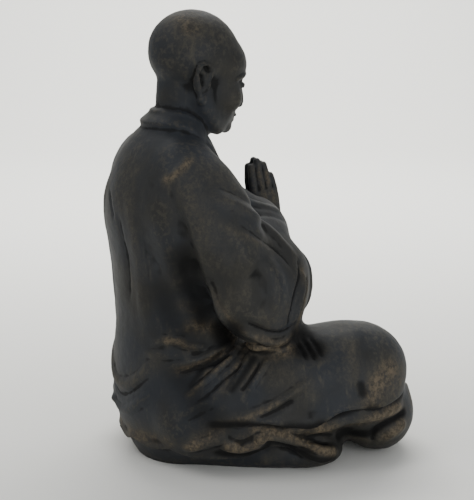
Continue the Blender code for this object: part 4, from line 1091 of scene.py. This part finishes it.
def painted_resin(settings):
    """Near-black matt paint, brown dry-brushed over folds and caught in speckles, and painted shade
    darkening the hollows and the shadowed folds.
    """
    material = bpy.data.materials.new("charcoal_resin")
    nodes = Nodes(material)
    place = nodes.add("ShaderNodeTexCoord").outputs["Object"]
    drawn_out = nodes.add("ShaderNodeMapping")
    drawn_out.inputs["Scale"].default_value = STREAK_STRETCH
    nodes.link(place, drawn_out.inputs["Vector"])
    streak = nodes.texture(drawn_out.outputs["Vector"], STREAK)
    blotch = nodes.texture(place, BLOTCH)
    speck = nodes.texture(place, SPECK)
    paint = nodes.mark("paint")
    proud = nodes.math("MAXIMUM", nodes.mark("fine_proud"), nodes.mark("broad_proud"))
    broad_hollow = nodes.times(nodes.mark("broad_hollow"), BROAD_HOLLOW)
    hollow = nodes.math("MAXIMUM", nodes.mark("fine_hollow"), broad_hollow)

    # Black paint in two shades, streaked and worn to a dull brown
    shade = nodes.fade(nodes.texture(place, CLOUD), SHADE_FADE)
    color = nodes.mix(shade, settings.base_color, settings.shade_color)
    brushed = nodes.times(nodes.fade(streak, STREAK_FADE), nodes.fade(blotch, BLOTCH_FADE))
    color = nodes.mix(nodes.times(brushed, settings.brushed_amount), color, settings.brushed_color)
    worn = nodes.times(nodes.fade(proud, PROUD_FADE), nodes.fade(speck, WORN_FADE))
    color = nodes.mix(nodes.times(worn, settings.worn_amount), color, settings.brushed_color)

    # The brown rubbed over the folds, broken up by its grain and dots
    grain = nodes.math("ADD", nodes.times(blotch, 0.5), nodes.times(streak, 0.5))
    relief = nodes.math("SUBTRACT", proud, hollow)
    grain = nodes.math("MULTIPLY_ADD", relief, RELIEF_PULL, grain)
    dots = nodes.fade(nodes.texture(place, DOT), DOT_FADE)
    rubbed = nodes.times(paint, nodes.at_least(GRAIN_LEAST, nodes.fade(grain, GRAIN_FADE)),
                         nodes.at_least(DOT_LEAST, dots))
    brown = nodes.mix(nodes.fade(speck, PATINA_FADE), settings.patina_dark, settings.patina_color)
    tint = nodes.mix(nodes.fade(paint, STRENGTH_FADE), settings.brushed_color, brown)
    color = nodes.mix(nodes.times(rubbed, settings.patina_amount), color, tint)

    # Painted shade: the hollows darkened towards black, and black laid along the darkest folds
    painted_shade = nodes.times(nodes.fade(hollow, HOLLOW_FADE), HOLLOW_DARKNESS)
    laid = nodes.times(nodes.fade(nodes.mark("black"), BLACK_FADE), BLACK_DARKNESS)
    painted_shade = nodes.math("MAXIMUM", painted_shade, laid)
    color = nodes.mix(painted_shade, color, settings.crease_shade_color)
    nodes.link(color, nodes.surface.inputs["Base Color"])

    # Brown, the painted shade and specks are each a little duller than the bare paint
    dull = nodes.math("MULTIPLY_ADD", rubbed, BROWN_DULLING, settings.roughness)
    dull = nodes.math("MULTIPLY_ADD", painted_shade, BLACK_DULLING, dull)
    dull = nodes.math("MULTIPLY_ADD", speck, SPECK_DULLING, dull)
    nodes.link(nodes.math("ADD", dull, -SPECK_DULLING / 2), nodes.surface.inputs["Roughness"])
    nodes.surface.inputs["Metallic"].default_value = 0.0
    nodes.surface.inputs["IOR"].default_value = REFRACTION
    nodes.surface.inputs["Specular IOR Level"].default_value = REFLECTION

    # The tooth of the paint, coarser in the brown
    pits = nodes.times(speck, nodes.math("MULTIPLY_ADD", rubbed, BROWN_PITS, BARE_PITS))
    pits = nodes.math("MULTIPLY_ADD", nodes.texture(place, PITTING), PITTING_SHARE, pits)
    bump = nodes.add("ShaderNodeBump")
    bump.inputs["Strength"].default_value = TOOTH_STRENGTH
    bump.inputs["Distance"].default_value = TOOTH
    nodes.link(pits, bump.inputs["Height"])
    nodes.link(bump.outputs["Normal"], nodes.surface.inputs["Normal"])
    material.diffuse_color = (*settings.base_color, 1)
    return material


def pale_floor(settings):
    """The matt paint of the floor and the backdrop."""
    material = bpy.data.materials.new("pale_floor")
    surface = Nodes(material).surface
    surface.inputs["Base Color"].default_value = (*settings.floor_color, 1)
    surface.inputs["Roughness"].default_value = FLOOR_ROUGHNESS
    material.diffuse_color = (*settings.floor_color, 1)
    return material


class FigurineSettings(bpy.types.PropertyGroup):
    fineness: IntProperty(name="Fineness", description="Faces of the skin along one unit of height",
                          default=340, min=60, max=600)
    unevenness: FloatProperty(name="Unevenness", description="How far the casting's surface wanders",
                              default=0.00022, min=0, max=0.002, unit="LENGTH", precision=5)
    base_color: FloatVectorProperty(name="Base", description="Near-black paint",
                                    default=(0.0190, 0.0188, 0.0176), size=3, min=0, max=1, subtype="COLOR")
    shade_color: FloatVectorProperty(name="Shade", description="Cooler clouds in the paint",
                                     default=(0.0175, 0.0200, 0.0245), size=3, min=0, max=1, subtype="COLOR")
    brushed_color: FloatVectorProperty(name="Brushed", description="Dry-brushed dull brown",
                                       default=(0.062, 0.055, 0.041), size=3, min=0, max=1, subtype="COLOR")
    patina_color: FloatVectorProperty(name="Patina", description="Brown rubbed over the folds",
                                      default=(0.128, 0.100, 0.064), size=3, min=0, max=1, subtype="COLOR")
    patina_dark: FloatVectorProperty(name="Patina shade", description="Darker specks in the brown",
                                     default=(0.058, 0.047, 0.032), size=3, min=0, max=1, subtype="COLOR")
    # Painted shade: the near-black that the hollows and the shadowed folds are darkened towards
    crease_shade_color: FloatVectorProperty(name="Hollows", description="Paint in the deepest creases",
                                      default=(0.002, 0.002, 0.002), size=3, min=0, max=1, subtype="COLOR")
    brushed_amount: FloatProperty(name="Brushed amount", description="How opaque the dull brown streaks are",
                                  default=0.60, min=0, max=1, subtype="FACTOR")
    worn_amount: FloatProperty(name="Worn amount", description="How far the black is worn off the ridges",
                               default=0.40, min=0, max=1, subtype="FACTOR")
    patina_amount: FloatProperty(name="Patina amount", description="How opaque the brown on the folds is",
                                 default=0.90, min=0, max=1, subtype="FACTOR")
    roughness: FloatProperty(name="Roughness", description="Of the bare dark paint",
                             default=0.60, min=0, max=1, subtype="FACTOR")


class StageSettings(bpy.types.PropertyGroup):
    floor_size: FloatProperty(name="Floor", description="Width and depth of the floor",
                              default=14 * UNIT, min=0.1, unit="LENGTH")
    floor_color: FloatVectorProperty(name="Floor colour", description="Pale paint of floor and backdrop",
                                     default=(0.80, 0.795, 0.760), size=3, min=0, max=1, subtype="COLOR")
    room_light: FloatProperty(name="Room light", description="Strength of the light from all round",
                              default=0.52, min=0)
    key_light: FloatProperty(name="Key light", description="Watts of the light on the figure",
                             default=1.0, min=0)
    fill_light: FloatProperty(name="Fill light", description="Watts of the low light beside the camera",
                              default=1.3, min=0)
    backdrop_light: FloatProperty(name="Backdrop light", description="Watts of the light on the backdrop",
                                  default=13.0, min=0)
    azimuth: FloatProperty(name="Azimuth", description="Where the camera stands, 0 in front of the figure",
                           default=math.radians(245), subtype="ANGLE")
    elevation: FloatProperty(name="Elevation", description="How high the camera looks from",
                             default=math.radians(12), subtype="ANGLE")
    distance: FloatProperty(name="Distance", description="From the camera to what it looks at",
                            default=2.897 * UNIT, min=0.01, unit="LENGTH")
    view_height: FloatProperty(name="View height", description="How much the picture's height takes in",
                               default=1.129 * UNIT, min=0.01, unit="LENGTH")


class MONK_OT_figurine(bpy.types.Operator):
    """Model the seated monk and paint it"""
    bl_idname = "monk.figurine"
    bl_label = "Figurine"

    def execute(self, context):
        settings = context.scene.monk_figurine
        voxel = UNIT / settings.fineness
        skin = fused((block_robe,), ROBE_VOXEL, ROBE_RUBS)
        skin = fused((block_head,), HEAD_VOXEL, HEAD_RUBS, skin)
        skin = fused((), voxel, SKIN_RUBS, skin)
        carve_robe(skin)
        skin = fused((add_face, add_hands), voxel, SKIN_RUBS, skin)
        carve_face(skin)
        roughened(skin, settings.unevenness)
        skin = thinned(skin)
        shift = cut_flat(skin)
        mark_hollows(skin)
        mark_paint(skin, shift)
        skin.name = "monk"
        skin.materials.clear()
        skin.materials.append(painted_resin(settings))
        piece = bpy.data.objects.new("monk", skin)
        context.scene.collection.objects.link(piece)
        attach(piece, "root")
        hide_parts("monk_figurine")
        return {"FINISHED"}


class MONK_OT_stage(bpy.types.Operator):
    """Set the floor, the backdrop, the lights and the camera"""
    bl_idname = "monk.stage"
    bl_label = "Stage"

    def execute(self, context):
        settings = context.scene.monk_stage
        make_floor(settings)
        make_lights(context.scene, settings)
        make_camera(context.scene, settings)
        return {"FINISHED"}


def steps_of_view(settings):
    """Level steps across the camera's view to the right, and away from it."""
    sine = math.sin(settings.azimuth)
    cosine = math.cos(settings.azimuth)
    return Vector((cosine, sine, 0)), Vector((-sine, cosine, 0))


def make_floor(settings):
    """A floor that sweeps up into a backdrop behind the figure, square to the camera."""
    half = settings.floor_size / 2
    sweep = SWEEP_SHARE * half
    outline = [(-half, 0.0)]
    outline += [(half - sweep + sweep * math.sin(turn), sweep - sweep * math.cos(turn))
                for turn in np.linspace(0, math.pi / 2, SWEEP_ROWS)]
    outline.append((half, half))
    across, away = steps_of_view(settings)
    bm = bmesh.new()
    rows = []
    for along, up in outline:
        middle = away * along + UP * up
        rows.append((bm.verts.new(middle - across * half), bm.verts.new(middle + across * half)))
    for near, far in zip(rows, rows[1:]):
        bm.faces.new((near[0], near[1], far[1], far[0])).smooth = True
    bmesh.ops.recalc_face_normals(bm, faces=bm.faces)
    mesh = bpy.data.meshes.new("floor")
    bm.to_mesh(mesh)
    bm.free()
    mesh.materials.append(pale_floor(settings))
    floor = bpy.data.objects.new("floor", mesh)
    bpy.context.scene.collection.objects.link(floor)


def make_lights(scene, settings):
    """A bright room, a broad soft light from the upper left, a weaker low one and one on the backdrop."""
    world = bpy.data.worlds.new("room")
    scene.world = world
    world.use_nodes = True
    room = world.node_tree.nodes["Background"]
    room.inputs["Color"].default_value = (*ROOM_COLOR, 1)
    room.inputs["Strength"].default_value = settings.room_light
    steps = (*steps_of_view(settings), UP)
    watts = (settings.key_light, settings.fill_light, settings.backdrop_light)
    for (name, place, aim, size, color), strength in zip(LIGHTS, watts):
        light = bpy.data.lights.new(name, "AREA")
        light.size = size * UNIT
        light.energy = strength
        light.color = color
        lamp = bpy.data.objects.new(name, light)
        place, aim = [sum((step * count for step, count in zip(steps, counts)), Vector()) * UNIT
                      for counts in (place, aim)]
        lamp.location = place
        lamp.rotation_euler = (aim - place).to_track_quat("-Z", "Y").to_euler()
        scene.collection.objects.link(lamp)


def make_camera(scene, settings):
    """The camera of the photograph, looking from the figure's right and behind it."""
    data = bpy.data.cameras.new("camera")
    camera = bpy.data.objects.new("camera", data)
    _, away = steps_of_view(settings)
    back = UP * math.sin(settings.elevation) - away * math.cos(settings.elevation)
    target = Vector(LOOKED_AT) * UNIT
    camera.location = target + back * settings.distance
    camera.rotation_euler = (-back).to_track_quat("-Z", "Y").to_euler()
    data.sensor_fit = "VERTICAL"
    data.lens = data.sensor_height * settings.distance / settings.view_height
    data.clip_start = NEAREST_SEEN
    scene.collection.objects.link(camera)
    scene.camera = camera


class MONK_PT_panel(bpy.types.Panel):
    """Everything the figurine and its stage are made with"""
    bl_idname = "MONK_PT_panel"
    bl_label = "Monk Figurine"
    bl_space_type = "VIEW_3D"
    bl_region_type = "UI"
    bl_category = "Figurine"

    def draw(self, context):
        for settings, operator in ((context.scene.monk_figurine, "monk.figurine"),
                                   (context.scene.monk_stage, "monk.stage")):
            box = self.layout.box()
            for name in settings.bl_rna.properties.keys():
                if name not in ("rna_type", "name"):
                    box.prop(settings, name)
            box.operator(operator)


CLASSES = (FigurineSettings, StageSettings, MONK_OT_figurine, MONK_OT_stage, MONK_PT_panel)


def register():
    for each in CLASSES:
        bpy.utils.register_class(each)
    bpy.types.Scene.monk_figurine = PointerProperty(type=FigurineSettings)
    bpy.types.Scene.monk_stage = PointerProperty(type=StageSettings)


def unregister():
    del bpy.types.Scene.monk_figurine
    del bpy.types.Scene.monk_stage
    for each in reversed(CLASSES):
        bpy.utils.unregister_class(each)


def main():
    register()
    bpy.ops.monk.figurine()
    bpy.ops.monk.stage()


if __name__ == "__main__":
    main()
